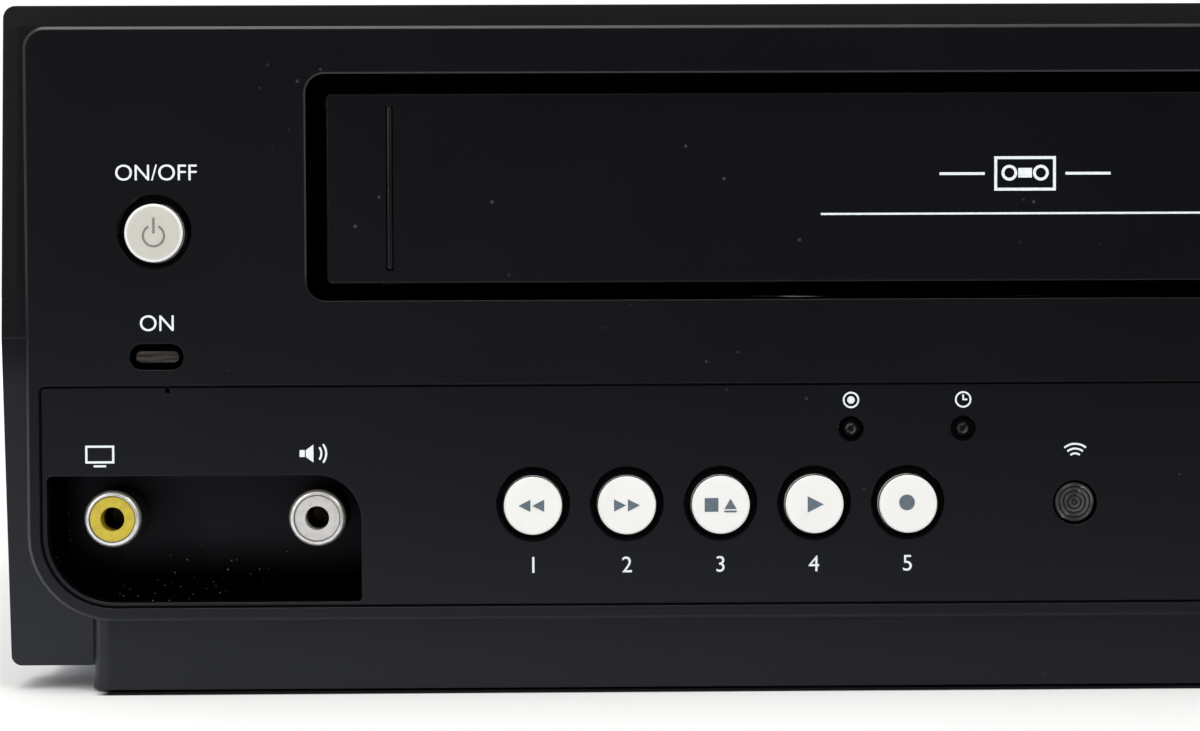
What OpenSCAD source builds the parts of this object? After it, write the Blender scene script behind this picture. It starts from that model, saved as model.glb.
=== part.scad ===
// Combined cassette and disc player in one low case.
// Millimetres. +X right, -Y front, +Z up. The origin is under the middle of the case.

/* [Case] */
// Width over the front moulding
body_w = 437; // [410:1:450]
// Height, feet included
body_h = 100.1; // [95:0.1:110]
// Depth from the button faces to the ends of the rear connectors
body_d = 233.6; // [225:0.2:250]
// Wall of the plastic mouldings
wall = 2.5; // [2:0.1:3]
// Thickness of the steel sheet
sheet = 1.0; // [0.8:0.1:1.2]
// Height of the feet
foot_h = 3; // [2:0.5:6]
// Depth of the front moulding behind its face
bezel_d = 20; // [16:1:24]

/* [Front moulding] */
// Width of the flange beside the raised field
flange_w = 3.55; // [2:0.05:8]
// Bottom edge of the raised field
field_z = 10.6; // [9:0.1:13]
// Height of the flange above the raised field
flange_h = 3.4; // [2:0.1:6]
// Top corner radius of the field
field_rt = 3.2; // [2:0.1:6]
// Bottom corner radius of the field
field_rb = 12.5; // [8:0.5:16]
// Bevel along the edge of the field
edge = 0.45; // [0.2:0.05:1]
// Height at which the flange is folded
kink_z = 52; // [40:1:60]
// How far the flange leans back at the top
lean_top = 4.8; // [3:0.1:6]
// How far the flange stands behind the field at the fold
lean_mid = 0.7; // [0.3:0.1:2]
// How far the flange leans back at the bottom
lean_low = 6.1; // [3:0.1:7]
// Bottom edge of the flange
flange_z = 3.5; // [3:0.1:6]
// How far the plinth ends inside the flange at each side
plinth_side = 12.1; // [8:0.1:20]
// How far the plinth stands behind the field
plinth_in = 2.5; // [1:0.1:4]
// Gap between the plinth and what the feet stand on
plinth_gap = 0.3; // [0.2:0.1:1.5]

/* [Cassette slot] */
// Width of the slot
slot_w = 209; // [205:0.1:212]
// Bottom edge of the slot, below the top of the case
slot_down = 43.1; // [42:0.1:44]
// Height of the slot
slot_h = 32.8; // [32:0.1:34]
// Gap beside the flap
door_side = 2.8; // [1:0.1:5]
// Gap under the flap
door_low = 2.55; // [1:0.05:4]
// Gap over the flap
door_high = 2.75; // [1:0.05:4]
// How far the flap stands behind the field
door_in = 1.8; // [1.2:0.1:3]
// Thickness of the flap
door_t = 2.2; // [1.8:0.1:2.6]
// Width of the cassette
tape_w = 187.5; // [187:0.5:189]
// Thickness of the cassette
tape_h = 25; // [24.5:0.1:25.2]

/* [Controls] */
// Diameter of a button cap
cap_d = 8.7; // [8:0.1:9]
// How far a cap stands out of the field
cap_out = 0.8; // [0.5:0.1:2]
// Travel of a button
cap_travel = 1; // [0.5:0.1:1.2]
// Diameter of the dished ring round a cap
ring_d = 10.6; // [10:0.1:11.5]
// Distance between neighbouring buttons
pitch = 13.63; // [13:0.01:16]
// Height of the button row
row_z = 27.2; // [24:0.1:30]
// Height of the row of lights
led_z = 38.1; // [36:0.1:40]
// Top edge of the control trim
trim_top = 44.65; // [42:0.05:46]
// Bottom edge of the control trim
trim_low = 12.7; // [12.4:0.1:14]

/* [Front jacks] */
// Outer diameter of a phono barrel
phono_d = 8.3; // [8.1:0.1:8.5]
// Wall of a phono barrel at its mouth
phono_t = 0.85; // [0.5:0.05:1]
// Distance of the barrel ends behind the field
phono_in = 1.6; // [1:0.1:4]
// Depth of the jack recess
well_d = 12.5; // [11:0.5:18]
// Height of the front jacks
phono_z = 25.37; // [22:0.01:26]
// Radius of the hole for a plug's pin
pin_bore = 1.75; // [1.65:0.05:1.9]
// Length of the tapered mouth of a barrel
mouth = 0.8; // [0.3:0.1:1.2]

/* [Disc tray] */
// Width of the tray front
tray_front_w = 146; // [140:0.5:148]
// Height of the tray front
tray_front_h = 15.5; // [12:0.5:18]
// Bottom edge of the tray front, below the top of the case
tray_down = 25.6; // [24:0.1:28]
// Width of the tray plate
tray_w = 128; // [124:0.5:132]
// Gear module of the tray drive
gear_m = 1; // [0.8:0.1:1.2]

/* [Fits] */
// Radial clearance of a shaft in its bore
run = 0.05; // [0.02:0.01:0.1]
// Gap between parts that move past each other
gap = 0.4; // [0.3:0.05:0.6]

/* [Hidden] */
$fa = 6;
$fs = 0.4;
tiny = 0.01;
// The case against the one that the inner layout is drawn in
wide = body_w / 437;
deep = body_d / 233.6;
left = -body_w / 2;
field_w = body_w - 2 * flange_w;
field_h = body_h - field_z - flange_h;
plinth_w = body_w - 2 * plinth_side;
deck_x = -69.8 * wide;
disc_x = 125 * wide;
cap_front = -body_d / 2;
face_y = cap_front + cap_out;
far_y = body_d / 2;
rear_y = far_y - 9.8;
back_y = rear_y - sheet;
bezel_y = face_y + bezel_d;
pocket = 2.6;
ledge_t = 2.4;
ledge_y = face_y + pocket + ledge_t;
shell_y = face_y + 9;
trim_in = 0.3;
seam = 0.2;
trim_t = 2.2;
trim_w = field_w - 4.1;
trim_rb = field_rb - 2;
board_y = face_y + 14;
board_t = 1.6;
sleeve_y = face_y + 6;
bore_r = cap_d / 2 + 0.3;
buttons = [for (i = [0:4]) deck_x - 71.9 + i * pitch];
source_x = 2.2 * wide;
channel_x = 33 * wide;
disc_keys = [for (i = [-1:1]) disc_x + i * pitch];
row_x = concat(buttons, [source_x, channel_x, channel_x + pitch], disc_keys);
led_x = [deck_x - 25.6, deck_x - 9.25, source_x - 8.2, source_x + 8.2];
ir_x = deck_x + 7.1;
power_x = left + 22.3;
power_z = body_h - 33.2;
light_z = trim_top + 0.1955 * (power_z - trim_top);
video_x = left + 15.6;
audio_x = left + 45.35;
phono_bore = phono_d / 2 - phono_t;
neck_r = phono_d / 2 - 0.25;
well_x0 = left + 6.4;
well_x1 = left + 51.9;
well_z0 = 13.3;
well_z1 = 31.75;
well_y = face_y + well_d;
slot_r = 2.8;
slot_z = body_h - slot_down;
hinge_y = face_y + 4;
hinge_z = slot_z + slot_h - 4;
door_w = slot_w - 2 * door_side;
door_h = slot_h - door_low - door_high;
lintel_z = hinge_z + 1.6;
lintel_y = hinge_y + 0.6;
collar_y = face_y + 28;
floor_z = foot_h + sheet;
deck_z = 24;
deck_t = 1.6;
deck_top = deck_z + deck_t;
hold_z = slot_z - 0.1;
hold_x = 95.5;
hold_y0 = collar_y + 5;
hold_y1 = hold_y0 + 88;
hold_h = tape_h + 1;
drop = hold_z - 32.9;
pin_z = hold_z + 13.1;
pin_y = [hold_y0 + 15, hold_y0 + 75];
plate_w = 216 * wide;
plate_d = 184 * deep;
drum_y = 55 * deep;
drum_r = 31;
drum_tilt = 5.97;
cap_x = deck_x + 58;
cap_y = 24 * deep;
arm_x = deck_x + 70;
arm_y = 37 * deep;
roll_x = 3.5;
roll_y = -20;
reel_x = 46;
reel_y = hold_y0 + 33;
guide_x = 33;
guide_y = hold_y0 + 85;
guide_dx = 7.5;
guide_dy = 58;
guide_run = norm([guide_dx, guide_dy]);
guide_a = atan(guide_dx / guide_dy);
gear_x = deck_x - 68;
gear_y = 62 * deep;
tray_front_z = body_h - tray_down;
loader_z = tray_front_z - 14.5;
loader_y0 = face_y + 10;
loader_y1 = back_y - 18;
tray_top = loader_z + 24;
tray_low = loader_z + 20;
tray_y0 = face_y + 4;
tray_y1 = tray_y0 + 184;
spin_y = tray_y0 + 76;
rod_z = loader_z + 10;
rail_x = tray_w / 2 + 0.6;
rack_x = disc_x - tray_w / 2 + 9.25;
teeth = 20;
pinion_r = gear_m * teeth / 2;
pinion_x = rack_x + pinion_r + 0.15;
pinion_y = face_y + 30;
hinge_d = spin_y + 90;
main_z = 12;
main_x = [42 * wide, 208 * wide];
main_y = [-78 * deep, back_y - 4];
side_x = [left + 6.5, left + 39.5];
side_y = [-80 * deep, back_y - 7];
loader_posts = [face_y + 25, loader_y1 - 8];
rca_x = [disc_x + 13, disc_x + 27, disc_x + 41];
rca_z = [22, 36];
rf_x = disc_x - 26;
rf_z = [21, 35];
round_x = disc_x + 65;
round_z = 29;
cord_x = left + 23.5;
cord_z = 22;
foot_x = body_w / 2 - 38.5;
foot_y = [-80 * deep, 85 * deep];
cover_x = body_w / 2 - 2;
cover_z = body_h - 0.5;
side_screw_y = [-60 * deep, 84 * deep];
side_screw_z = 10;
rear_screw_x = [left + 28.5, 0, -left - 28.5];
rear_screw_z = cover_z - 6;
black = [0.10, 0.10, 0.11];
gloss = [0.03, 0.03, 0.03];
steel = [0.70, 0.71, 0.72];
pale = [0.92, 0.92, 0.91];
board = [0.36, 0.28, 0.12];

// Rectangle from two corners, with a radius for each corner: top left, top right, low right, low left
module rect4(x0, z0, x1, z1, r) {
    difference() {
        translate([x0, z0]) square([x1 - x0, z1 - z0]);
        nick(x0, z1, r[0], -1, 1);
        nick(x1, z1, r[1], 1, 1);
        nick(x1, z0, r[2], 1, -1);
        nick(x0, z0, r[3], -1, -1);
    }
}

// What a rounded corner takes off
module nick(x, z, r, sx, sz) {
    if (r > 0) difference() {
        translate([sx > 0 ? x - r : x - 1, sz > 0 ? z - r : z - 1]) square(r + 1);
        translate([x - sx * r, z - sz * r]) circle(r);
    }
}

// Rectangle about its middle with one radius
module rrect(w, h, r) {
    rect4(-w / 2, -h / 2, w / 2, h / 2, [r, r, r, r]);
}

// A flat outline in X and Z given a thickness from y0 to y1
module upright(y0, y1) {
    translate([0, y1, 0]) rotate([90, 0, 0]) linear_extrude(y1 - y0) children();
}

// A flat outline in Y and Z drawn out from x0 to x1
module along_x(x0, x1) {
    translate([x0, 0, 0]) rotate([90, 0, 90]) linear_extrude(x1 - x0) children();
}

// A flat outline in X and Y raised from z0 to z1
module level(z0, z1) {
    translate([0, 0, z0]) linear_extrude(z1 - z0) children();
}

// Round bar along Y
module rod_y(x, z, r, y0, y1) {
    translate([x, y0, z]) rotate([-90, 0, 0]) cylinder(h = y1 - y0, r = r);
}

// Round taper along Y
module cone_y(x, z, r0, r1, y0, y1) {
    translate([x, y0, z]) rotate([-90, 0, 0]) cylinder(h = y1 - y0, r1 = r0, r2 = r1);
}

// Round bar along X
module rod_x(y, z, r, x0, x1) {
    translate([x0, y, z]) rotate([0, 90, 0]) cylinder(h = x1 - x0, r = r);
}

// Round post
module post(x, y, r, z0, z1) {
    translate([x, y, z0]) cylinder(h = z1 - z0, r = r);
}

module block(x0, y0, z0, x1, y1, z1) {
    translate([x0, y0, z0]) cube([x1 - x0, y1 - y0, z1 - z0]);
}

// Plate on Y = 0 with a bevelled front edge, its bottom edge at Z = 0
module bevel_plate(w, h, t, rt, rb, c) {
    mid = h / 2;
    upright(c, t) rect4(-w / 2, 0, w / 2, h, [rt, rt, rb, rb]);
    b = c + 0.4;
    level(rb, h - rt) polygon([[-w / 2 + c, 0], [w / 2 - c, 0], [w / 2, c], [w / 2, b],
                               [-w / 2, b], [-w / 2, c]]);
    along_x(-w / 2 + rt, w / 2 - rt) polygon([[0, mid], [0, h - c], [c, h], [b, h], [b, mid]]);
    along_x(-w / 2 + rb, w / 2 - rb) polygon([[0, mid], [0, c], [c, 0], [b, 0], [b, mid]]);
    for (s = [-1, 1]) {
        cone_y(s * (w / 2 - rt), h - rt, rt - c, rt, 0, c);
        cone_y(s * (w / 2 - rb), rb, rb - c, rb, 0, c);
    }
}

// The ring that leads in to a button bore
module button_hole(x, z, y0) {
    cone_y(x, z, ring_d / 2, bore_r, y0 - tiny, y0 + 1.5);
    rod_y(x, z, bore_r, y0, sleeve_y + 1);
}

// Folded flange of the front moulding
module flange() {
    intersection() {
        upright(face_y, bezel_y)
            rect4(left, flange_z, -left, body_h, [1.8, 1.8, 1.5, 1.5]);
        along_x(left - 1, 1 - left) polygon([
            [face_y + lean_low, flange_z - tiny],
            [face_y + lean_mid, kink_z],
            [face_y + lean_top, body_h + tiny],
            [bezel_y + 1, body_h + tiny],
            [bezel_y + 1, flange_z - tiny]
        ]);
    }
}

// Plinth under the field, open below
module plinth() {
    difference() {
        level(plinth_gap, field_z + 1) difference() {
            translate([-plinth_w / 2, face_y + plinth_in])
                square([plinth_w, bezel_d - plinth_in]);
            for (s = [-1, 1])
                nick(s * plinth_w / 2, face_y + plinth_in, 3, s, -1);
        }
        block(-plinth_w / 2 + wall, face_y + plinth_in + wall, 0,
              plinth_w / 2 - wall, bezel_y - wall, flange_z);
    }
}

module front_panel() {
    color(black) difference() {
        union() {
            flange();
            translate([0, face_y, field_z])
                bevel_plate(field_w, field_h, 10, field_rt, field_rb, edge);
            plinth();
        }
        // Shell behind the face
        upright(shell_y, bezel_y + 1)
            rect4(-body_w / 2 + wall, flange_z + wall, body_w / 2 - wall, body_h - wall,
                  [1, 1, 1, 1]);
        upright(face_y + wall, shell_y + 1)
            rect4(-field_w / 2 + wall, trim_top + 1.7, field_w / 2 - wall,
                  field_z + field_h - wall, [1, 1, 1, 1]);
        upright(ledge_y, shell_y + 1)
            rect4(-field_w / 2 + wall, field_z + wall, field_w / 2 - wall, trim_top + 0.2,
                  [0, 0, 10, 10]);
        // Pocket for the control trim, and the way through its ledge
        upright(face_y - 1, face_y + pocket)
            rect4(-trim_w / 2 - seam, trim_low - seam, trim_w / 2 + seam, trim_top + seam,
                  [0.9, 0.9, trim_rb + seam, trim_rb + seam]);
        upright(face_y, ledge_y + 1)
            rect4(-trim_w / 2 + 3, trim_low + 3, trim_w / 2 - 3, trim_top - 3, [3, 3, 8, 8]);
        upright(face_y, ledge_y + 1)
            rect4(-trim_w / 2 - seam, trim_low - seam, well_x1 + 1.3, well_z1 + 1.3,
                  [0, 7.8, 2, trim_rb + seam]);
        upright(ledge_y, shell_y + 1) well_outline(1.1);
        // Cassette slot and disc slot
        upright(face_y - 1, shell_y) slot_outline(0);
        upright(face_y - 1, shell_y) tray_outline(0);
        // Power button and its light
        button_hole(power_x, power_z, face_y);
        translate([power_x + 0.2, 0, light_z]) upright(face_y - 1, face_y + 1.6)
            rrect(7.8, 3.8, 1.85);
        translate([power_x + 0.2, 0, light_z]) upright(face_y, shell_y)
            rrect(6.4, 1.8, 0.85);
    }
    color(black) {
        difference() {
            upright(face_y + wall, collar_y) slot_outline(wall);
            upright(face_y, lintel_y) slot_outline(0);
            upright(face_y, collar_y + 1)
                rect4(deck_x - slot_w / 2, slot_z, deck_x + slot_w / 2, lintel_z,
                      [0, 0, slot_r, slot_r]);
            for (s = [-1, 1])
                rod_x(hinge_y, hinge_z, 1.2 + run,
                      deck_x + s * slot_w / 2 - 3, deck_x + s * slot_w / 2 + 3);
        }
        difference() {
            upright(face_y + wall, shell_y) tray_outline(wall);
            upright(face_y, shell_y + 1) tray_outline(0);
        }
        difference() {
            rod_y(power_x, power_z, bore_r + 1.3, face_y + wall, sleeve_y);
            rod_y(power_x, power_z, bore_r, face_y, sleeve_y + 1);
        }
        for (s = [-1, 1])
            rod_y(power_x + s * (bore_r + 4), power_z, 2.2, face_y + wall, board_y);
    }
}

module slot_outline(g) {
    r = slot_r + g;
    rect4(deck_x - slot_w / 2 - g, slot_z - g, deck_x + slot_w / 2 + g, slot_z + slot_h + g,
          [r, r, r, r]);
}

module tray_outline(g) {
    w = tray_front_w / 2 + 0.6 + g;
    r = 1.2 + g;
    rect4(disc_x - w, tray_front_z - 0.6 - g, disc_x + w, tray_front_z + tray_front_h + 0.6 + g,
          [r, r, r, r]);
}

// Outline of the jack recess
module well_outline(g) {
    rect4(well_x0 - g, well_z0 - g, well_x1 + g, well_z1 + g,
          [0.7 + g, 6.5 + g, 0.7 + g, 9.8 + g]);
}

module control_trim() {
    y0 = face_y + trim_in;
    color(black) difference() {
        union() {
            translate([0, y0, trim_low])
                bevel_plate(trim_w, trim_top - trim_low, trim_t, 0.7, trim_rb, 0.2);
            for (x = row_x) rod_y(x, row_z, bore_r + 1.3, y0 + 1, sleeve_y);
            for (p = [[deck_x - 82.2, 38], [deck_x + 29.8, 20], [channel_x + 29, 38],
                      [channel_x + 29, 20], [disc_x + 29, 38]])
                rod_y(p[0], p[1], 2.5, y0 + 1, board_y);
        }
        for (x = row_x) button_hole(x, row_z, y0);
        for (x = led_x) {
            cone_y(x, led_z, 1.85, 1.3, y0 - tiny, y0 + 1);
            rod_y(x, led_z, 1.3, y0, y0 + 3);
        }
        rod_y(ir_x, row_z, 3.25, y0 - 1, y0 + 3);
        upright(y0 - 1, y0 + 3) well_outline(0);
        block(left + 23.65, y0 - 1, trim_top - 0.9, left + 24.35, y0 + 3, trim_top + 1);
    }
}

// Recess for the jacks: drafted side, rising floor, four different corners
module jack_well() {
    y0 = face_y + pocket;
    color(gloss) difference() {
        union() {
            difference() {
                upright(y0, well_y + 1.2) well_outline(0.75);
                upright(y0 - 1, well_y) well_outline(0);
            }
            intersection() {
                upright(y0, well_y + 0.5) well_outline(0.3);
                union() {
                    along_x(well_x0 - 1, well_x1 + 1) polygon([
                        [y0, well_z0 - 0.5], [y0, well_z0 + 0.1],
                        [well_y + 0.5, well_z0 + 3], [well_y + 0.5, well_z0 - 0.5]]);
                    level(well_z0 - 1, well_z1 + 1) polygon([
                        [well_x0 - 0.5, y0], [well_x0 + 0.1, y0],
                        [well_x0 + 1, well_y + 0.5], [well_x0 - 0.5, well_y + 0.5]]);
                }
            }
        }
        for (x = [video_x, audio_x])
            rod_y(x, phono_z, neck_r + 0.1, well_y - 1, well_y + 3);
    }
}

// Metal barrels of every phono jack
module jack_barrels() {
    y0 = face_y + phono_in;
    y1 = far_y - 0.8;
    color(steel) {
        for (x = [video_x, audio_x]) difference() {
            union() {
                cone_y(x, phono_z, phono_d / 2 - 0.55, phono_d / 2, y0, y0 + mouth);
                rod_y(x, phono_z, phono_d / 2, y0 + mouth, well_y - 0.1);
                rod_y(x, phono_z, neck_r, well_y - 0.1, well_y + 4);
                rod_y(x, phono_z, 4.9, well_y + 1.2, well_y + 2.4);
            }
            rod_y(x, phono_z, phono_bore, face_y, well_y + 5);
        }
        for (x = rca_x, z = rca_z) difference() {
            union() {
                rod_y(x, z, phono_d / 2, rear_y - 4, y1 - mouth);
                cone_y(x, z, phono_d / 2, phono_d / 2 - 0.55, y1 - mouth, y1);
                rod_y(x, z, 4.9, rear_y, rear_y + 0.8);
            }
            rod_y(x, z, phono_bore, rear_y - 5, far_y);
        }
    }
}

// Insulator that fills a barrel, with the bore for the plug's tip
module insert(x, z, y0, y1, open) {
    difference() {
        rod_y(x, z, phono_bore - 0.02, y0, y1);
        if (open < 0) rod_y(x, z, pin_bore, y0 - 1, y1 - 1.5);
        else rod_y(x, z, pin_bore, y0 + 1.5, y1 + 1);
    }
}

module yellow_inserts() {
    color([0.85, 0.70, 0.05]) {
        insert(video_x, phono_z, face_y + phono_in + 0.15, well_y + 4, -1);
        for (z = rca_z) insert(rca_x[0], z, rear_y - 4, far_y - 0.95, 1);
    }
}

module white_inserts() {
    color(pale) {
        insert(audio_x, phono_z, face_y + phono_in + 0.15, well_y + 4, -1);
        for (z = rca_z) insert(rca_x[1], z, rear_y - 4, far_y - 0.95, 1);
    }
}

module red_inserts() {
    color([0.7, 0.05, 0.05])
        for (z = rca_z) insert(rca_x[2], z, rear_y - 4, far_y - 0.95, 1);
}

module power_lens() {
    color([0.55, 0.5, 0.45]) translate([power_x + 0.2, 0, light_z]) {
        upright(face_y + 1, face_y + 8) rrect(6.2, 1.6, 0.75);
        upright(face_y + 8, board_y) rrect(4, 3, 0.4);
    }
}

module indicator_leds() {
    color([0.6, 0.12, 0.1]) for (x = led_x) {
        rod_y(x, led_z, 1.1, face_y + 0.9, face_y + 5);
        rod_y(x, led_z, 1.6, face_y + 5, board_y);
    }
}

module ir_lens() {
    color([0.35, 0.12, 0.12]) {
        cone_y(ir_x, row_z, 2.7, 3.05, face_y + 0.2, face_y + 0.6);
        rod_y(ir_x, row_z, 3.05, face_y + 0.6, face_y + 7);
        translate([ir_x, 0, row_z]) upright(face_y + 7, board_y) rrect(7, 8, 0.5);
    }
}

// One push button: cap, retaining collar and stem
module button(x, z) {
    y1 = sleeve_y + gap;
    color(pale) {
        cone_y(x, z, cap_d / 2 - 0.3, cap_d / 2, cap_front, cap_front + 0.3);
        rod_y(x, z, cap_d / 2, cap_front + 0.3, y1 + 1);
        rod_y(x, z, bore_r + 0.9, y1, y1 + 1.2);
        rod_y(x, z, 1.6, y1 + 1.2, board_y - 4.4 - cap_travel);
    }
}

module btn_power() { button(power_x, power_z); }
module btn_rewind() { button(buttons[0], row_z); }
module btn_forward() { button(buttons[1], row_z); }
module btn_stop() { button(buttons[2], row_z); }
module btn_play() { button(buttons[3], row_z); }
module btn_record() { button(buttons[4], row_z); }
module btn_source() { button(source_x, row_z); }
module btn_down() { button(channel_x, row_z); }
module btn_up() { button(channel_x + pitch, row_z); }
module btn_tray() { button(disc_keys[0], row_z); }
module btn_disc_stop() { button(disc_keys[1], row_z); }
module btn_disc_play() { button(disc_keys[2], row_z); }

// Push switch on the key board
module key_switch(x, z) {
    translate([x, 0, z]) upright(board_y - 3.4, board_y) rrect(6, 6, 0.4);
    rod_y(x, z, 1.7, board_y - 4.1, board_y - 3.4);
}

module key_board() {
    color(board) {
        upright(board_y, board_y + board_t)
            rect4(deck_x - 88.2, 16, disc_x + 33, 42, [1, 1, 1, 1]);
        for (x = row_x) key_switch(x, row_z);
        upright(board_y, board_y + board_t)
            rect4(power_x - 11, light_z - 6, power_x + 11, power_z + 8, [1, 1, 1, 1]);
        key_switch(power_x, power_z);
        upright(well_y + 4, well_y + 4 + board_t)
            rect4(well_x0 + 1, well_z0 + 2, well_x1 - 1, well_z1 + 1, [1, 1, 1, 1]);
    }
}

module cassette_door() {
    x0 = deck_x - door_w / 2;
    color(black) {
        difference() {
            translate([deck_x, face_y + door_in, slot_z + door_low])
                bevel_plate(door_w, door_h, door_t, 0.7, 0.7, 0.2);
            for (s = [-1, 1])
                translate([deck_x + s * (door_w / 2 - 9), 0, slot_z + door_low + door_h / 2 - 0.25])
                    upright(face_y, face_y + door_in + 0.45) rrect(0.6, door_h - 4, 0.25);
        }
        for (s = [-1, 1])
            rod_x(hinge_y, hinge_z, 1.2,
                  min(s * (door_w / 2 - 4.8), s * (slot_w / 2 + 2.4)) + deck_x,
                  max(s * (door_w / 2 - 4.8), s * (slot_w / 2 + 2.4)) + deck_x);
        for (x = [-60, 0, 60])
            block(deck_x + x - 0.8, face_y + door_in + door_t - tiny, slot_z + 5,
                  deck_x + x + 0.8, face_y + door_in + door_t + 0.8, slot_z + slot_h - 6.8);
    }
}

// Folded tray that carries the cassette down on to the reels
module cassette_holder() {
    z0 = hold_z - sheet;
    z1 = hold_z + hold_h;
    color(steel) {
        difference() {
            block(deck_x - hold_x - 1, hold_y0, z0, deck_x + hold_x + 1, hold_y1 + 1, z1 + 1);
            block(deck_x - hold_x, hold_y0 - 1, hold_z, deck_x + hold_x, hold_y1, z1);
            block(deck_x - hold_x - 2, hold_y1 - 3.4, hold_z, deck_x + hold_x + 2, hold_y1, z1);
            block(deck_x - 75.5, hold_y0 + 8, z0 - 1, deck_x + 75.5, hold_y1 + 2, hold_z + 1);
            block(deck_x - 75.5, hold_y1 - 1, z0 - 1, deck_x + 75.5, hold_y1 + 2, z1);
            block(deck_x - hold_x - 2, hold_y1 - 1, z1 - 3.4, deck_x + hold_x + 2, hold_y1 + 2, z1);
            level(z1 - 1, z1 + 2) translate([deck_x, hold_y0 + 43]) rrect(120, 46, 5);
            for (s = [-1, 1]) level(z1 - 1, z1 + 2)
                translate([deck_x + s * 78, hold_y0 + 45]) rrect(18, 50, 4);
        }
        for (s = [-1, 1], y = pin_y)
            rod_x(y, pin_z, 2, deck_x + s * (hold_x + 3.1) - 2.4,
                  deck_x + s * (hold_x + 3.1) + 2.4);
    }
}

// Side plates with the slots that guide the holder
module deck_brackets() {
    color(steel) for (s = [-1, 1]) {
        x0 = deck_x + s * 98.8 - 0.6;
        difference() {
            along_x(x0, x0 + 1.2)
                rect4(hold_y0 - 1, deck_top, hold_y1 + 5, slot_z + 31, [3, 3, 0, 0]);
            for (y = pin_y) along_x(x0 - 1, x0 + 3)
                translate([y, pin_z - drop / 2]) rrect(4.6, drop + 4.6, 2.25);
            along_x(x0 - 1, x0 + 3) translate([hold_y0 + 45, slot_z - 1]) rrect(34, 30, 3);
        }
        for (y = [hold_y0 + 13, hold_y0 + 63])
            block(s > 0 ? x0 : x0 - 7, y, deck_top, s > 0 ? x0 + 8.2 : x0 + 1.2, y + 14,
                  deck_top + 1.2);
    }
}

// Mounting plate of the tape deck with its fixed posts
module deck_plate() {
    color(steel) {
        difference() {
            level(deck_z, deck_top) translate([deck_x, 0]) rrect(plate_w, plate_d, 4);
            post(cap_x, cap_y, 4, deck_z - 1, deck_top + 1);
            for (s = [-1, 1]) level(deck_z - 1, deck_top + 1)
                translate([deck_x + s * (guide_x + guide_dx / 2), guide_y + guide_dy / 2])
                    rotate(-s * guide_a) rrect(4.6, guide_run + 4.6, 2.25);
            for (x = [-24, 24]) level(deck_z - 1, deck_top + 1)
                translate([deck_x + x, reel_y - 12]) rrect(30, 26, 4);
            post(deck_x, reel_y + 36, 9, deck_z - 1, deck_top + 1);
        }
        difference() {
            post(cap_x, cap_y, 4.5, deck_z - 2, deck_top + 1.8);
            post(cap_x, cap_y, 1.5 + run, deck_z - 3, deck_top + 3);
        }
        for (s = [-1, 1]) {
            post(deck_x + s * reel_x, reel_y, 2, deck_top - tiny, 39);
            post(deck_x + s * reel_x, reel_y, 4, deck_top - tiny, deck_top + 0.6);
        }
        post(arm_x, arm_y, 2, deck_top - tiny, 40);
        post(arm_x, arm_y, 4, deck_top - tiny, deck_top + 1.6);
        post(gear_x, gear_y, 2, deck_top - tiny, 34);
        post(gear_x, gear_y, 4, deck_top - tiny, deck_top + 0.6);
    }
}

// Inclined axis of the head drum
module on_drum() {
    translate([deck_x, drum_y, deck_top]) rotate([0, drum_tilt, 0]) children();
}

module lower_drum() {
    color([0.8, 0.81, 0.83]) {
        difference() {
            union() {
                post(deck_x, drum_y, 28, deck_top, deck_top + 4);
                on_drum() translate([0, 0, 3.6]) cylinder(h = 18.4, r = drum_r);
            }
            on_drum() translate([0, 0, 5.5]) cylinder(h = 20, r = 3 + run);
            on_drum() translate([0, 0, 20]) difference() {
                cylinder(h = 4, r = drum_r - 3);
                cylinder(h = 4, r = 9);
            }
        }
    }
}

module head_drum() {
    color([0.8, 0.81, 0.83]) on_drum() {
        difference() {
            translate([0, 0, 22.4]) cylinder(h = 15, r = drum_r);
            translate([0, 0, 35.4]) difference() {
                cylinder(h = 4, r = drum_r - 4);
                cylinder(h = 4, r = 15);
            }
            for (a = [0:60:300]) rotate(a) translate([20, 0, 21]) cylinder(h = 20, r = 2.2);
            for (a = [0:90:270]) rotate(a + 20) translate([drum_r - 0.6, 0, 21.9])
                linear_extrude(2.4) rrect(3, 3, 0.2);
        }
        translate([0, 0, 37.4]) cylinder(h = 3.6, r = 13);
        translate([0, 0, 6]) cylinder(h = 17, r = 3);
    }
}

module tape_heads() {
    color([0.6, 0.61, 0.63]) {
        level(deck_top, 48) translate([deck_x - 58, 30 * deep]) rrect(12, 8, 1.5);
        level(deck_top, 50) translate([deck_x + 54, 47 * deep]) rrect(12, 8, 1.5);
    }
}

// Capstan shaft with its flywheel under the deck
module capstan() {
    color([0.75, 0.76, 0.78]) {
        post(cap_x, cap_y, 1.5, 6.5, 55);
        difference() {
            post(cap_x, cap_y, 24, 7.5, 13);
            for (a = [0:45:315]) translate([cap_x, cap_y, 0]) rotate(a)
                post(15, 0, 3.5, 7, 14);
        }
    }
}

// Cans of the capstan, loading and tray motors
module motors() {
    color([0.65, 0.66, 0.68]) {
        difference() {
            union() {
                post(cap_x, cap_y, 26, 14.5, 21.8);
                post(cap_x, cap_y, 10, 21, deck_z);
            }
            post(cap_x, cap_y, 5, 14, deck_z + 1);
        }
        post(deck_x - 86, 80 * deep, 9, deck_top, deck_top + 20);
        post(deck_x - 86, 80 * deep, 4, deck_top + 20, deck_top + 24);
        post(disc_x - 12, face_y + 24, 9, loader_z + 2, loader_z + 13);
        post(disc_x - 12, face_y + 24, 3.5, loader_z + 13, loader_z + 16);
    }
}

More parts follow.
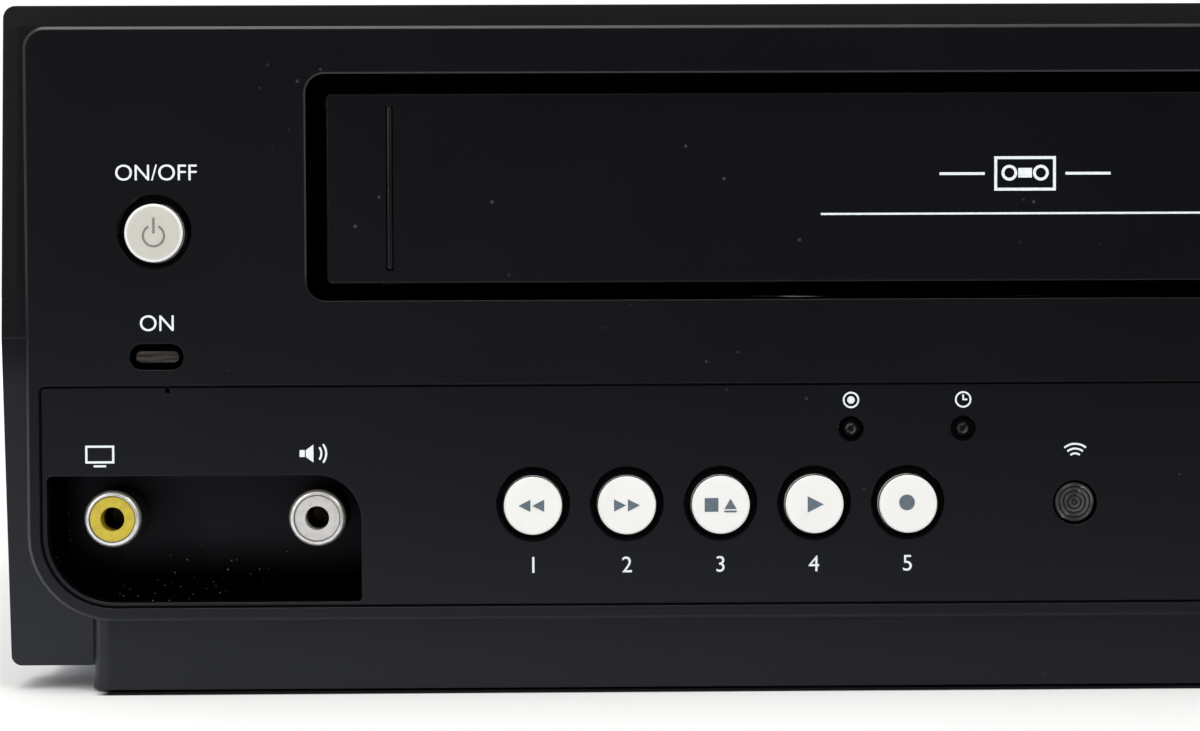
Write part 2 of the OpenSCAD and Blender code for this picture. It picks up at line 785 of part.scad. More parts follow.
module pinch_arm() {
    color(steel) {
        difference() {
            union() {
                post(arm_x, arm_y, 4.5, deck_top + 2, 38);
                level(28, 30.5) translate([arm_x, arm_y]) {
                    rotate(atan2(roll_y, roll_x)) translate([0, -3.5])
                        square([norm([roll_x, roll_y]), 7]);
                    translate([roll_x, roll_y]) circle(3.5);
                }
            }
            post(arm_x, arm_y, 2 + run, deck_top, 42);
        }
        post(arm_x + roll_x, arm_y + roll_y, 1.5, 30, 49);
        post(arm_x + roll_x, arm_y + roll_y, 2.6, 48, 49.2);
        post(arm_x + roll_x, arm_y + roll_y, 2.6, 30.4, 31.6);
    }
}

module pinch_roller() {
    color([0.07, 0.07, 0.07]) difference() {
        post(arm_x + roll_x, arm_y + roll_y, 6, 32, 47.6);
        post(arm_x + roll_x, arm_y + roll_y, 1.5 + run, 31, 49);
        for (z = [31.9, 46.7]) difference() {
            post(arm_x + roll_x, arm_y + roll_y, 5, z, z + 1);
            post(arm_x + roll_x, arm_y + roll_y, 2.8, z, z + 1);
        }
    }
}

// Reel table: toothed flange and a spindle with three drive fins
module reel(s) {
    z0 = deck_top + 1;
    color([0.93, 0.93, 0.9]) translate([deck_x + s * reel_x, reel_y, 0]) {
        difference() {
            union() {
                post(0, 0, 18.5, z0, z0 + 2.6);
                post(0, 0, 9.5, z0 + 2.5, z0 + 4.6);
                post(0, 0, 5.6, z0 + 4.5, 40);
                translate([0, 0, 40]) cylinder(h = 3, r1 = 5.6, r2 = 3);
                for (a = [0:120:240]) rotate(a) level(z0 + 4.5, 39)
                    translate([5, -0.7]) square([2.9, 1.4]);
            }
            post(0, 0, 2 + run, z0 - 1, 40.5);
        }
    }
}

module supply_reel() { reel(-1); }
module takeup_reel() { reel(1); }

// Guide base with its roller, at the cassette end of its slot
module tape_guide(s) {
    color([0.78, 0.79, 0.8]) translate([deck_x + s * guide_x, guide_y, 0]) {
        level(deck_top + gap, deck_top + 3.4) rotate(-s * guide_a) rrect(11, 13, 2);
        post(0, 0, 1.9, deck_z - 1.6, deck_top + 1);
        post(0, 0, 4, deck_z - 1.6, deck_z - gap);
        post(0, 0, 1.6, deck_top + 3, 52);
        post(0, 0, 3, 31, 48.5);
        post(0, 0, 3.8, 30, 31);
        post(0, 0, 3.8, 48.5, 49.5);
        rotate(-s * guide_a) translate([-s * 3, -4.2, 0]) post(0, 0, 1, deck_top + 3, 49);
    }
}

module supply_guide() { tape_guide(-1); }
module takeup_guide() { tape_guide(1); }

module cam_gear() {
    color([0.9, 0.9, 0.87]) difference() {
        union() {
            post(gear_x, gear_y, 14, deck_top + 1, deck_top + 4);
            post(gear_x, gear_y, 4, deck_top + 3, deck_top + 7);
            difference() {
                post(gear_x + 2, gear_y, 10, deck_top + 3.9, deck_top + 5.6);
                post(gear_x + 2, gear_y, 8, deck_top + 3, deck_top + 7);
            }
        }
        post(gear_x, gear_y, 2 + run, deck_top, deck_top + 9);
        for (a = [60, 180, 300]) translate([gear_x, gear_y, 0]) rotate(a)
            post(5.6, 0, 1.2, deck_top, deck_top + 5);
    }
}

// Moulded frame that guides the disc tray
module loader_frame() {
    z0 = loader_z;
    color(black) {
        difference() {
            block(disc_x - rail_x - 2.4, loader_y0, z0, disc_x + rail_x + 2.4, loader_y1, z0 + 2);
            level(z0 - 1, z0 + 3)
                rect4(disc_x - 33, spin_y - 22, disc_x + 33, hinge_d + 8, [3, 3, 3, 3]);
        }
        for (s = [-1, 1]) {
            x0 = disc_x + s * (rail_x + 1.2) - 1.2;
            block(x0, loader_y0, z0 + 2 - tiny, x0 + 2.4, loader_y1, tray_top + 1);
            x1 = disc_x + s * (rail_x - 2.2) - 2.2;
            block(x1, loader_y0, tray_low - 2.4, x1 + 4.4, loader_y1, tray_low - gap);
            for (y = [face_y + 26, face_y + 108, loader_y1 - 28]) {
                x2 = disc_x + s * (rail_x - 1) - 1;
                block(x2, y, tray_top + gap, x2 + 2, y + 10, tray_top + 1.6);
            }
            x3 = disc_x + s * 35;
            difference() {
                block(x3 - 2, hinge_d - 4, z0 + 2 - tiny, x3 + 2, hinge_d + 4, z0 + 8);
                rod_x(hinge_d, z0 + 4.6, 2 + run, x3 - 3, x3 + 3);
            }
        }
        post(pinion_x, pinion_y, 2.5, z0 + 2 - tiny, tray_low - 0.8);
        post(pinion_x, pinion_y, 5, z0 + 2 - tiny, z0 + 3.4);
    }
}

// One tooth of the rack, in X and Y
module rack_tooth(y) {
    t = 1.37 / 2;
    a = tan(20);
    translate([rack_x, y]) polygon([[-1.35, -t - 1.25 * a], [1, -t + a],
                                    [1, t - a], [-1.35, t + 1.25 * a]]);
}

// Sliding disc tray: recesses for both disc sizes, way through for the pick-up, rack below
module disc_tray() {
    color(black) {
        difference() {
            level(tray_low, tray_top)
                rect4(disc_x - tray_w / 2, tray_y0, disc_x + tray_w / 2, tray_y1, [4, 4, 0, 0]);
            post(disc_x, spin_y, 61, tray_top - 2, tray_top + 1);
            post(disc_x, spin_y, 41, tray_top - 2.8, tray_top);
            post(disc_x, spin_y, 18, tray_low - 1, tray_top);
            level(tray_low - 1, tray_top)
                rect4(disc_x - 17, spin_y, disc_x + 17, spin_y + 55, [4, 4, 0, 0]);
            for (s = [-1, 1]) post(disc_x + s * 50, spin_y - 52, 12, tray_top - 1.2, tray_top + 1);
        }
        level(tray_low - 6, tray_low + tiny) {
            translate([rack_x - 4.25, pinion_y - 4]) square([3, 152]);
            for (i = [0:46]) rack_tooth(pinion_y + i * PI * gear_m);
        }
        block(disc_x + 55, tray_y0 + 6, tray_low - 4, disc_x + 57, tray_y1 - 6,
              tray_low + tiny);
        block(disc_x - 58, tray_y0, tray_low - 4, disc_x + 58, tray_y0 + 3, tray_low + tiny);
    }
}

module tray_bezel() {
    color(black) translate([disc_x, face_y - 0.2, tray_front_z])
        bevel_plate(tray_front_w, tray_front_h, 4.2, 1.2, 1.2, 0.4);
}

// One flank of the pinion teeth, as radius and angle
flank = [[8.75, 4.8], [9.5, 4.65], [10.2, 3.45], [11, 1.23]];

module tray_gear() {
    color([0.9, 0.9, 0.87]) translate([pinion_x, pinion_y, 0]) difference() {
        union() {
            level(tray_low - 6.6, tray_low - 1.2) polygon([for (i = [0:teeth - 1], k = [0:7])
                let (c = 180 + (i + 0.5) * 360 / teeth,
                     f = flank[k < 4 ? k : 7 - k],
                     a = c + (k < 4 ? -f[1] : f[1]))
                [f[0] * cos(a), f[0] * sin(a)]]);
            post(0, 0, 12.5, loader_z + 3.8, loader_z + 7.5);
            post(0, 0, 6, loader_z + 7, tray_low - 6.5);
        }
        post(0, 0, 2.5 + run, loader_z, tray_low);
        for (a = [0:60:300]) rotate(a) post(8.6, 0, 1.8, loader_z + 3, loader_z + 8);
    }
}

// Tilting sub-frame under the disc, on two trunnions
module traverse() {
    z0 = loader_z + 2.8;
    color(black) {
        difference() {
            level(z0, z0 + 2.6)
                rect4(disc_x - 28, spin_y - 26, disc_x + 28, hinge_d + 4, [2, 2, 2, 2]);
            level(z0 - 1, z0 + 4)
                rect4(disc_x - 12, spin_y + 16, disc_x + 12, spin_y + 76, [2, 2, 2, 2]);
        }
        for (s = [-1, 1]) {
            difference() {
                for (y = [spin_y - 18, spin_y + 80])
                    block(disc_x + s * 15 - 3, y, z0 + 2.5, disc_x + s * 15 + 3, y + 4, z0 + 10);
                rod_y(disc_x + s * 15, rod_z, 1.5, spin_y - 17, spin_y + 83);
            }
            rod_x(hinge_d, loader_z + 4.6, 2, disc_x + s * 31.5 - 5.3, disc_x + s * 31.5 + 5.3);
        }
    }
}

// Guide rods of the pick-up and the can of the spindle motor
module traverse_metal() {
    color(steel) {
        for (s = [-1, 1]) rod_y(disc_x + s * 15, rod_z, 1.5, spin_y - 17, spin_y + 83);
        difference() {
            post(disc_x, spin_y, 12, loader_z + 5.4, loader_z + 13);
            post(disc_x, spin_y, 1.2 + run, loader_z + 7, loader_z + 14);
        }
    }
}

module turntable() {
    color([0.2, 0.2, 0.21]) {
        post(disc_x, spin_y, 1.2, loader_z + 7.5, loader_z + 16);
        post(disc_x, spin_y, 13, loader_z + 15.4, loader_z + 17.2);
        translate([disc_x, spin_y, loader_z + 17.1]) cylinder(h = 2, r1 = 7.4, r2 = 5.8);
    }
}

module laser_sled() {
    lens_y = spin_y + 24;
    color([0.25, 0.26, 0.28]) {
        difference() {
            level(rod_z - 3.4, rod_z + 3.8)
                rect4(disc_x - 20, lens_y - 10, disc_x + 20, lens_y + 18, [2, 2, 6, 6]);
            for (s = [-1, 1])
                rod_y(disc_x + s * 15, rod_z, 1.5 + run, lens_y - 12, lens_y + 20);
            post(disc_x, lens_y, 5.2, rod_z + 2.8, rod_z + 5);
        }
        difference() {
            post(disc_x, lens_y, 4, rod_z + 2.7, rod_z + 5.2);
            post(disc_x, lens_y, 2.4, rod_z + 4.6, rod_z + 6);
        }
    }
}

module clamp_bridge() {
    z0 = loader_z + 29.6;
    color(steel) {
        difference() {
            block(disc_x - rail_x - 2.4, spin_y - 16, z0,
                  disc_x + rail_x + 2.4, spin_y + 16, z0 + 1.2);
            post(disc_x, spin_y, 6.4, z0 - 1, z0 + 2);
        }
        for (s = [-1, 1]) {
            x0 = disc_x + s * (rail_x + 1.8) - 0.6;
            block(x0, spin_y - 16, tray_top + 1, x0 + 1.2, spin_y + 16, z0 + 0.1);
        }
    }
}

// Puck that presses the disc on to the turntable
module clamp_disc() {
    color([0.85, 0.85, 0.83]) {
        post(disc_x, spin_y, 15, tray_top + 2.2, tray_top + 4.4);
        post(disc_x, spin_y, 6, tray_top + 4.3, tray_top + 7.3);
        post(disc_x, spin_y, 11, tray_top + 7.2, tray_top + 8.8);
    }
}

// Sheet-steel bottom pan with its posts
module chassis() {
    w = body_w / 2 - 3.1;
    z0 = foot_h;
    y0 = bezel_y + 0.3;
    color(steel) {
        difference() {
            union() {
                block(-w, y0, z0, w, back_y - 0.2, floor_z);
                for (s = [-1, 1]) block(s * w - (s > 0 ? 1 : 0), y0, z0,
                                        s * w + (s > 0 ? 0 : 1), back_y - 0.2, z0 + 13);
                block(-w, back_y - 1.2, z0, w, back_y - 0.2, z0 + 8);
            }
            for (i = [0:9]) level(z0 - 1, floor_z + 1)
                translate([deck_x - 60 + i * 12, 30 * deep]) rrect(4, 50, 1.9);
            for (i = [0:7]) level(z0 - 1, floor_z + 1)
                translate([disc_x - 35 + i * 12, -20 * deep]) rrect(4, 50, 1.9);
            for (s = [-1, 1], y = foot_y) post(s * foot_x, y, 2.4, z0 - 1, floor_z + 1);
            for (s = [-1, 1], y = side_screw_y) rod_x(y, side_screw_z, 1.7, s * w - 2, s * w + 2);
        }
        for (s = [-1, 1], t = [-1, 1])
            post(deck_x + s * 90 * wide, t * (plate_d / 2 - 8), 3.5, floor_z - tiny, deck_z);
        for (s = [-1, 1], y = loader_posts)
            post(disc_x + s * 62, y, 3.5, floor_z - tiny, loader_z);
        for (x = [main_x[0] + 8, main_x[1] - 8], y = [main_y[0] + 8, main_y[1] - 6])
            post(x, y, 3, floor_z - tiny, main_z);
        for (x = [side_x[0] + 5, side_x[1] - 5], y = [side_y[0] + 6, side_y[1] - 5])
            post(x, y, 3, floor_z - tiny, main_z);
    }
}

// Folded steel cover over the top and both sides
module top_cover() {
    w = cover_x;
    top = cover_z;
    y0 = bezel_y + 0.3;
    y1 = rear_y;
    color([0.13, 0.13, 0.14]) {
        difference() {
            upright(y0, y1) difference() {
                rect4(-w, foot_h + 1.5, w, top, [2, 2, 0, 0]);
                rect4(-w + sheet, foot_h, w - sheet, top - sheet, [1, 1, 0, 0]);
            }
            for (i = [0:11]) level(top - 3, top + 1)
                translate([left + 28.5 + i * 7, 60 * deep]) rrect(3, 44, 1.4);
            for (s = [-1, 1], i = [0:9]) along_x(s * w - 3, s * w + 3)
                translate([back_y - 96 + i * 7, body_h - 40]) rrect(3, 26, 1.4);
            for (s = [-1, 1], y = side_screw_y) rod_x(y, side_screw_z, 1.7, s * w - 3, s * w + 3);
        }
        difference() {
            upright(y1, y1 + sheet) rect4(-w, top - 11, w, top, [2, 2, 1, 1]);
            for (x = rear_screw_x) rod_y(x, rear_screw_z, 1.7, y1 - 1, y1 + 2);
        }
    }
}

module rear_panel() {
    w = body_w / 2 - 3.1;
    color([0.13, 0.13, 0.14]) difference() {
        upright(back_y, rear_y) rect4(-w, floor_z + 0.5, w, body_h - 1.6, [1, 1, 0, 0]);
        for (x = rca_x, z = rca_z) rod_y(x, z, phono_d / 2 + 0.2, back_y - 1, rear_y + 1);
        for (z = rf_z) rod_y(rf_x, z, 5, back_y - 1, rear_y + 1);
        rod_y(round_x, round_z, 5, back_y - 1, rear_y + 1);
        rod_y(cord_x, cord_z, 6, back_y - 1, rear_y + 1);
        for (i = [0:15]) upright(back_y - 1, rear_y + 1)
            translate([deck_x - 80 + i * 8, body_h - 24.1]) rrect(3, 22, 1.4);
        for (x = rear_screw_x) rod_y(x, rear_screw_z, 1.7, back_y - 1, rear_y + 1);
    }
}

module feet() {
    color([0.06, 0.06, 0.06]) for (x = [-foot_x, foot_x], y = foot_y) {
        translate([x, y, 0]) cylinder(h = 0.8, r1 = 8.2, r2 = 9);
        post(x, y, 9, 0.8, foot_h);
        post(x, y, 2.2, foot_h - tiny, floor_z + 1.5);
    }
}

// Pan-head screw along X or Y, its head outwards
module screw() {
    difference() {
        union() {
            cylinder(h = 1.7, r1 = 3, r2 = 2.6);
            translate([0, 0, -5]) cylinder(h = 5.1, r = 1.5);
        }
        for (a = [0, 90]) rotate(a) translate([-1.7, -0.35, 0.8]) cube([3.4, 0.7, 2]);
    }
}

module screws() {
    color([0.2, 0.2, 0.2]) {
        for (s = [-1, 1], y = side_screw_y)
            translate([s * cover_x, y, side_screw_z]) rotate([0, s * 90, 0]) screw();
        for (x = rear_screw_x) translate([x, rear_y + sheet, rear_screw_z])
            rotate([-90, 0, 0]) screw();
    }
}

// Bush in the rear panel for the mains lead
module cord_gland() {
    color([0.05, 0.05, 0.05]) difference() {
        union() {
            rod_y(cord_x, cord_z, 5.9, back_y - 4, rear_y + 1);
            cone_y(cord_x, cord_z, 8, 6.5, rear_y, rear_y + 3.4);
            rod_y(cord_x, cord_z, 7.4, back_y - 3, back_y - 0.1);
        }
        rod_y(cord_x, cord_z, 3.6, back_y - 6, rear_y + 5);
    }
}

module circuit_boards() {
    color(board) {
        difference() {
            level(main_z, main_z + board_t)
                rect4(main_x[0], main_y[0], main_x[1], main_y[1], [1, 1, 1, 1]);
            for (s = [-1, 1]) post(disc_x + s * 62, loader_posts[1], 5, main_z - 1, main_z + 3);
        }
        level(main_z, main_z + board_t)
            rect4(side_x[0], side_y[0], side_x[1], side_y[1], [1, 1, 1, 1]);
    }
}

module transformer() {
    color([0.75, 0.65, 0.2]) translate([side_x[0] + 5, 4 * deep, main_z + board_t]) {
        difference() {
            cube([26, 26, 28]);
            translate([5, -1, 5]) cube([16, 28, 18]);
        }
        difference() {
            translate([5, -3, 5]) cube([16, 32, 18]);
            translate([10, -4, 10]) cube([6, 34, 8]);
        }
    }
}

module heatsink() {
    color(steel) translate([side_x[0] + 6, 46 * deep, main_z + board_t]) {
        cube([3, 40, 34]);
        for (i = [0:6]) translate([2.9, i * 6.1, 0]) cube([11.1, 1.5, 34]);
    }
}

// Screened aerial module with its two threaded connectors
module tuner() {
    z0 = main_z + board_t;
    color(steel) {
        block(rf_x - 13, back_y - 54, z0, rf_x + 13, back_y - 0.5, z0 + 30);
        for (z = rf_z) {
            difference() {
                union() {
                    rod_y(rf_x, z, 4.5, back_y - 1, rear_y + 1);
                    translate([rf_x, rear_y, z]) rotate([-90, 30, 0])
                        cylinder(h = 2.2, r = 6.35, $fn = 6);
                    rod_y(rf_x, z, 4.76, rear_y + 1, far_y);
                }
                rod_y(rf_x, z, 3.6, far_y - 6, far_y + 1);
            }
            difference() {
                rod_y(rf_x, z, 2.6, far_y - 7, far_y - 1.5);
                rod_y(rf_x, z, 0.6, far_y - 6, far_y);
            }
        }
    }
}

// Housings of the rear phono jacks and of the round video socket
module rear_jacks() {
    z0 = main_z + board_t;
    color(gloss) {
        block(rca_x[0] - 8, back_y - 16, z0, rca_x[2] + 8, back_y - 4.1, z0 + 30);
        for (x = rca_x, z = rca_z) difference() {
            rod_y(x, z, 5.6, back_y - 4.2, back_y);
            rod_y(x, z, phono_d / 2 + 0.02, back_y - 3.2, rear_y);
        }
        block(round_x - 8, back_y - 13, z0, round_x + 8, back_y, z0 + 22);
        difference() {
            rod_y(round_x, round_z, 4.9, back_y - tiny, rear_y + 2);
            rod_y(round_x, round_z, 4, rear_y - 3, rear_y + 3);
        }
        rod_y(round_x, round_z, 1.2, rear_y - 3.5, rear_y + 1);
    }
}

front_panel();
control_trim();
jack_well();
jack_barrels();
yellow_inserts();
white_inserts();
red_inserts();
power_lens();
indicator_leds();
ir_lens();
btn_power();
btn_rewind();
btn_forward();
btn_stop();
btn_play();
btn_record();
btn_source();
btn_down();
btn_up();
btn_tray();
btn_disc_stop();
btn_disc_play();
key_board();
cassette_door();
cassette_holder();
deck_brackets();
deck_plate();
lower_drum();
head_drum();
tape_heads();
capstan();
motors();
pinch_arm();
pinch_roller();
supply_reel();
takeup_reel();
supply_guide();
takeup_guide();
cam_gear();
loader_frame();
disc_tray();
tray_bezel();
tray_gear();
traverse();
traverse_metal();
turntable();
laser_sled();
clamp_bridge();
clamp_disc();
chassis();
top_cover();
rear_panel();
feet();
screws();
cord_gland();
circuit_boards();
transformer();
heatsink();
tuner();
rear_jacks();
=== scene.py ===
"""Looks of the combined cassette and disc player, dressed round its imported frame.

Metres, the frame's own axes: +X right, the front faces -Y, +Z up.
"""
import math

import bmesh
import bpy
from mathutils import Matrix, Vector


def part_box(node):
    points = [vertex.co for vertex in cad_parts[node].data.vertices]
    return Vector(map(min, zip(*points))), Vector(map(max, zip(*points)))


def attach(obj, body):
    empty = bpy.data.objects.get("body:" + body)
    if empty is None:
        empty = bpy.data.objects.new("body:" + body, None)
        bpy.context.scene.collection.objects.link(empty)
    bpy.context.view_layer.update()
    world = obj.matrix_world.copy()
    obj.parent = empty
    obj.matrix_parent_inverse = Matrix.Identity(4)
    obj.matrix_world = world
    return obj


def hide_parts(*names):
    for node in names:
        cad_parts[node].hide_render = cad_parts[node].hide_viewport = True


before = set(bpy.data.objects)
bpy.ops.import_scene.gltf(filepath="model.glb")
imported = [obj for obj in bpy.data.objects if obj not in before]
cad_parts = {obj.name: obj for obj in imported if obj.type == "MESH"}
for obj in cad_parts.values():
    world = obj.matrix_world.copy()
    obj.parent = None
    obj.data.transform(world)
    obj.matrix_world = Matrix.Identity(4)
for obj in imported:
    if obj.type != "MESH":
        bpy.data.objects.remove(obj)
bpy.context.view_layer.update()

MM = 0.001
TINY = 0.02 * MM


def centre(node):
    """Middle of a node's box."""
    low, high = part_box(node)
    return (low + high) / 2


# Places read from the frame
FACE_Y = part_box("front_panel")[0].y
CAP_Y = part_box("btn_play")[0].y
DOOR_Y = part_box("cassette_door")[0].y
TRAY_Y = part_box("tray_bezel")[0].y
TRIM_LOW, TRIM_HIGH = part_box("control_trim")
TRIM_Y = TRIM_LOW.y
SOURCE_X = centre("btn_source").x

# Flap and the slot round it: middles, half sizes, and the slot's corner radius
FLAP_X, FLAP_Z = -69.8 * MM, 73.3 * MM
FLAP_HALF_W, FLAP_HALF_H = 101.75 * MM, 13.8 * MM
SLOT_Z = 73.4 * MM
SLOT_STRAIGHT_W, SLOT_STRAIGHT_H = 101.7 * MM, 13.6 * MM
SLOT_CORNER = 2.8 * MM

# Height just under the fold of the side flange, and the X of the flange's inner edge
FOLD_Z = 51.6 * MM
FLANGE_X = -215.0 * MM

# Row of lights, and the jacks of the front and the back
LIGHT_ROW_Z = 38.1 * MM
LIGHT_PLACES = (-95.4 * MM, -79.05 * MM, SOURCE_X - 8.2 * MM, SOURCE_X + 8.2 * MM)
FRONT_JACKS = [(x * MM, 25.37 * MM) for x in (-202.9, -173.15)]
REAR_JACKS = [(x * MM, z * MM) for x in (138, 152, 166) for z in (22, 36)]

# Middle and spacing of the rings in the remote window
EYE_X = centre("ir_lens").x - 0.10 * MM
EYE_Z = centre("ir_lens").z + 0.06 * MM
EYE_RING = 0.64 * MM

# Inner side of the rear panel, and the seam under the rotating head drum, both painted shade
REAR_INNER_Y = 106.3 * MM
DRUM_SEAM = (56.0 * MM, 59.4 * MM)

# The camera stands close to the face, left of the middle; lens and sensor in millimetres
CAMERA_X = -139.07 * MM
CAMERA_AWAY = 420 * MM
CAMERA_Z = 61.65 * MM
CAMERA_YAW, CAMERA_PITCH, CAMERA_ROLL = -0.98, -1.931, 0.229
SENSOR, FOCAL = 36, 86.94

# Lamps: name, place, the point faced, width and height in metres, watts
LAMPS = (
    ("overhead", (-0.35, -0.35, 1.5), (-0.1, -0.1, 0), 1.3, 1.0, 18),
    ("rear", (0.5, 1.0, 1.5), (0, 0, 0.05), 1.0, 0.8, 6),
    ("left_strip", (-0.85, -0.95, 0.52), (-0.12, -0.1, 0.04), 0.02, 1.0, 4.6),
    ("right_strip", (0.65, -1.0, 0.9), (-0.08, -0.1, 0.04), 0.02, 1.0, 4.6),
)

# Strength of the surroundings as light, and as the camera sees them
WORLD_LIGHT = 0.9
WORLD_SEEN = 1.3


# ---------------------------------------------------------------- camera and lamps

def make_camera():
    """Long lens, turned a little off the square view."""
    data = bpy.data.cameras.new("camera")
    data.sensor_width = SENSOR
    data.lens = FOCAL
    data.clip_start = 0.01
    camera = bpy.data.objects.new("camera", data)
    turn = (Matrix.Rotation(math.radians(CAMERA_YAW), 4, "Z")
            @ Matrix.Rotation(math.radians(CAMERA_PITCH), 4, "X")
            @ Matrix.Rotation(math.radians(CAMERA_ROLL), 4, "Y")
            @ Matrix.Rotation(math.radians(90), 4, "X"))
    camera.matrix_world = Matrix.Translation((CAMERA_X, FACE_Y - CAMERA_AWAY, CAMERA_Z)) @ turn
    bpy.context.scene.collection.objects.link(camera)
    bpy.context.scene.camera = camera


def soft_box(name, place, aim, width, height, power):
    """A rectangular lamp that faces a point."""
    data = bpy.data.lights.new(name, "AREA")
    data.shape = "RECTANGLE"
    data.size, data.size_y = width, height
    data.energy = power
    lamp = bpy.data.objects.new(name, data)
    lamp.location = place
    lamp.rotation_euler = (Vector(aim) - Vector(place)).to_track_quat("-Z", "Y").to_euler()
    bpy.context.scene.collection.objects.link(lamp)


# ---------------------------------------------------------------- shader building

class Wire:
    """An output socket that does sums: each operator adds its Math node."""

    def __init__(self, nodes, socket):
        self.nodes = nodes
        self.socket = socket

    def maths(self, operation, *values):
        """One Math node over wires and numbers."""
        return self.nodes.add("ShaderNodeMath", dict(enumerate(values)), operation=operation)

    def __add__(self, other):
        return self.maths("ADD", self, other)

    def __radd__(self, other):
        return self.maths("ADD", other, self)

    def __sub__(self, other):
        return self.maths("SUBTRACT", self, other)

    def __rsub__(self, other):
        return self.maths("SUBTRACT", other, self)

    def __mul__(self, other):
        return self.maths("MULTIPLY", self, other)

    def __rmul__(self, other):
        return self.maths("MULTIPLY", other, self)

    def __truediv__(self, other):
        return self.maths("DIVIDE", self, other)

    def __pow__(self, other):
        return self.maths("POWER", self, other)

    def __abs__(self):
        return self.maths("ABSOLUTE", self)

    def cosine(self):
        return self.maths("COSINE", self)

    def at_least(self, low):
        return self.maths("MAXIMUM", self, low)

    def bounded(self):
        return self.maths("MINIMUM", self.at_least(0.0), 1.0)

    def step(self, low, high):
        """0 below low, 1 above high, smooth between."""
        return self.nodes.add("ShaderNodeMapRange",
                              {"Value": self, "From Min": low, "From Max": high},
                              interpolation_type="SMOOTHSTEP")

    def fall(self, low, high):
        """1 below low, 0 above high, smooth between."""
        return 1 - self.step(low, high)


class Nodes:
    """A node tree that is written as sums of wires."""

    def __init__(self, tree):
        self.tree = tree

    def add(self, kind, inputs=None, output=0, **settings):
        """Adds a node, sets it, fills or links its inputs, and gives one output."""
        node = self.tree.nodes.new(kind)
        for key, value in settings.items():
            setattr(node, key, value)
        for key, value in (inputs or {}).items():
            self.feed(node.inputs[key], value)
        return Wire(self, node.outputs[output])

    def feed(self, socket, value):
        """Links a wire to a socket, or sets the socket's own value."""
        if isinstance(value, Wire):
            self.tree.links.new(value.socket, socket)
        else:
            socket.default_value = value

    def split(self, place):
        """X, Y and Z of a place, as three wires."""
        node = self.tree.nodes.new("ShaderNodeSeparateXYZ")
        self.feed(node.inputs[0], place)
        return [Wire(self, socket) for socket in node.outputs]


class Finish(Nodes):
    """One material: a Principled shader and the nodes that feed it."""

    def __init__(self, name, colour, roughness, metallic=0.0, **constants):
        self.material = bpy.data.materials.new(name)
        self.material.use_nodes = True
        super().__init__(self.material.node_tree)
        self.shader = self.tree.nodes["Principled BSDF"]
        self.to("Base Color", (*colour, 1))
        self.to("Roughness", roughness)
        self.to("Metallic", metallic)
        for socket, value in constants.items():
            self.to(socket.replace("_", " "), value)
        self.place = self.add("ShaderNodeTexCoord", output="Object")

    def to(self, socket, value):
        """Feeds one socket of the shader."""
        self.feed(self.shader.inputs[socket], value)

    def axes(self):
        """X, Y and Z of the object's own place."""
        return self.split(self.place)

    def blacken(self, factor):
        """Painted shade: plain lightless black where factor is 1."""
        black = self.add("ShaderNodeBsdfDiffuse", {"Color": (0.0004, 0.0004, 0.0005, 1)})
        shader = Wire(self, self.shader.outputs[0])
        mixed = self.add("ShaderNodeMixShader", {0: factor, 1: shader, 2: black})
        self.feed(self.tree.nodes["Material Output"].inputs["Surface"], mixed)

    def blend(self, factor, one, two):
        """Colour one where factor is 0, colour two where it is 1."""
        colours = [colour if isinstance(colour, Wire) else (*colour, 1) for colour in (one, two)]
        return self.add("ShaderNodeMix", {0: factor, 6: colours[0], 7: colours[1]}, 2,
                        data_type="RGBA")

    def noise(self, scale, detail, stretch=None):
        """Cloudy grain, drawn out where stretch scales the axes unequally."""
        place = self.place
        if stretch:
            place = self.add("ShaderNodeMapping", {"Vector": place, "Scale": stretch})
        return self.add("ShaderNodeTexNoise",
                        {"Vector": place, "Scale": scale, "Detail": detail})

    def cells(self, scale, feature="F1"):
        """Pattern of small cells."""
        return self.add("ShaderNodeTexVoronoi", {"Vector": self.place, "Scale": scale},
                        feature=feature)

    def relief(self, height, depth, corner=0.15 * MM):
        """Bump of a real depth, on edges rounded to a small radius."""
        rounded = self.add("ShaderNodeBevel", {"Radius": corner}, samples=4)
        bump = self.add("ShaderNodeBump",
                        {"Height": height, "Distance": depth, "Normal": rounded})
        self.to("Normal", bump)

    def follow(self, grain, one, two, rough, depth=None, span=None):
        """Colour, roughness (least, added) and relief (mm) that all follow one grain."""
        share = grain.step(*span) if span else grain
        self.to("Base Color", self.blend(share, one, two))
        self.to("Roughness", rough[0] + rough[1] * grain)
        if depth:
            self.relief(grain, depth * MM)
        return self.material


def distance(across, up):
    """Distance from the point where both wires are 0."""
    return (across * across + up * up) ** 0.5


def dust(finish, amount):
    """Sparse pale specks."""
    specks = finish.cells(260).fall(0.05, 0.09)
    patches = finish.noise(38, 1).step(0.55, 0.62)
    return specks * patches * amount


# ---------------------------------------------------------------- finishes

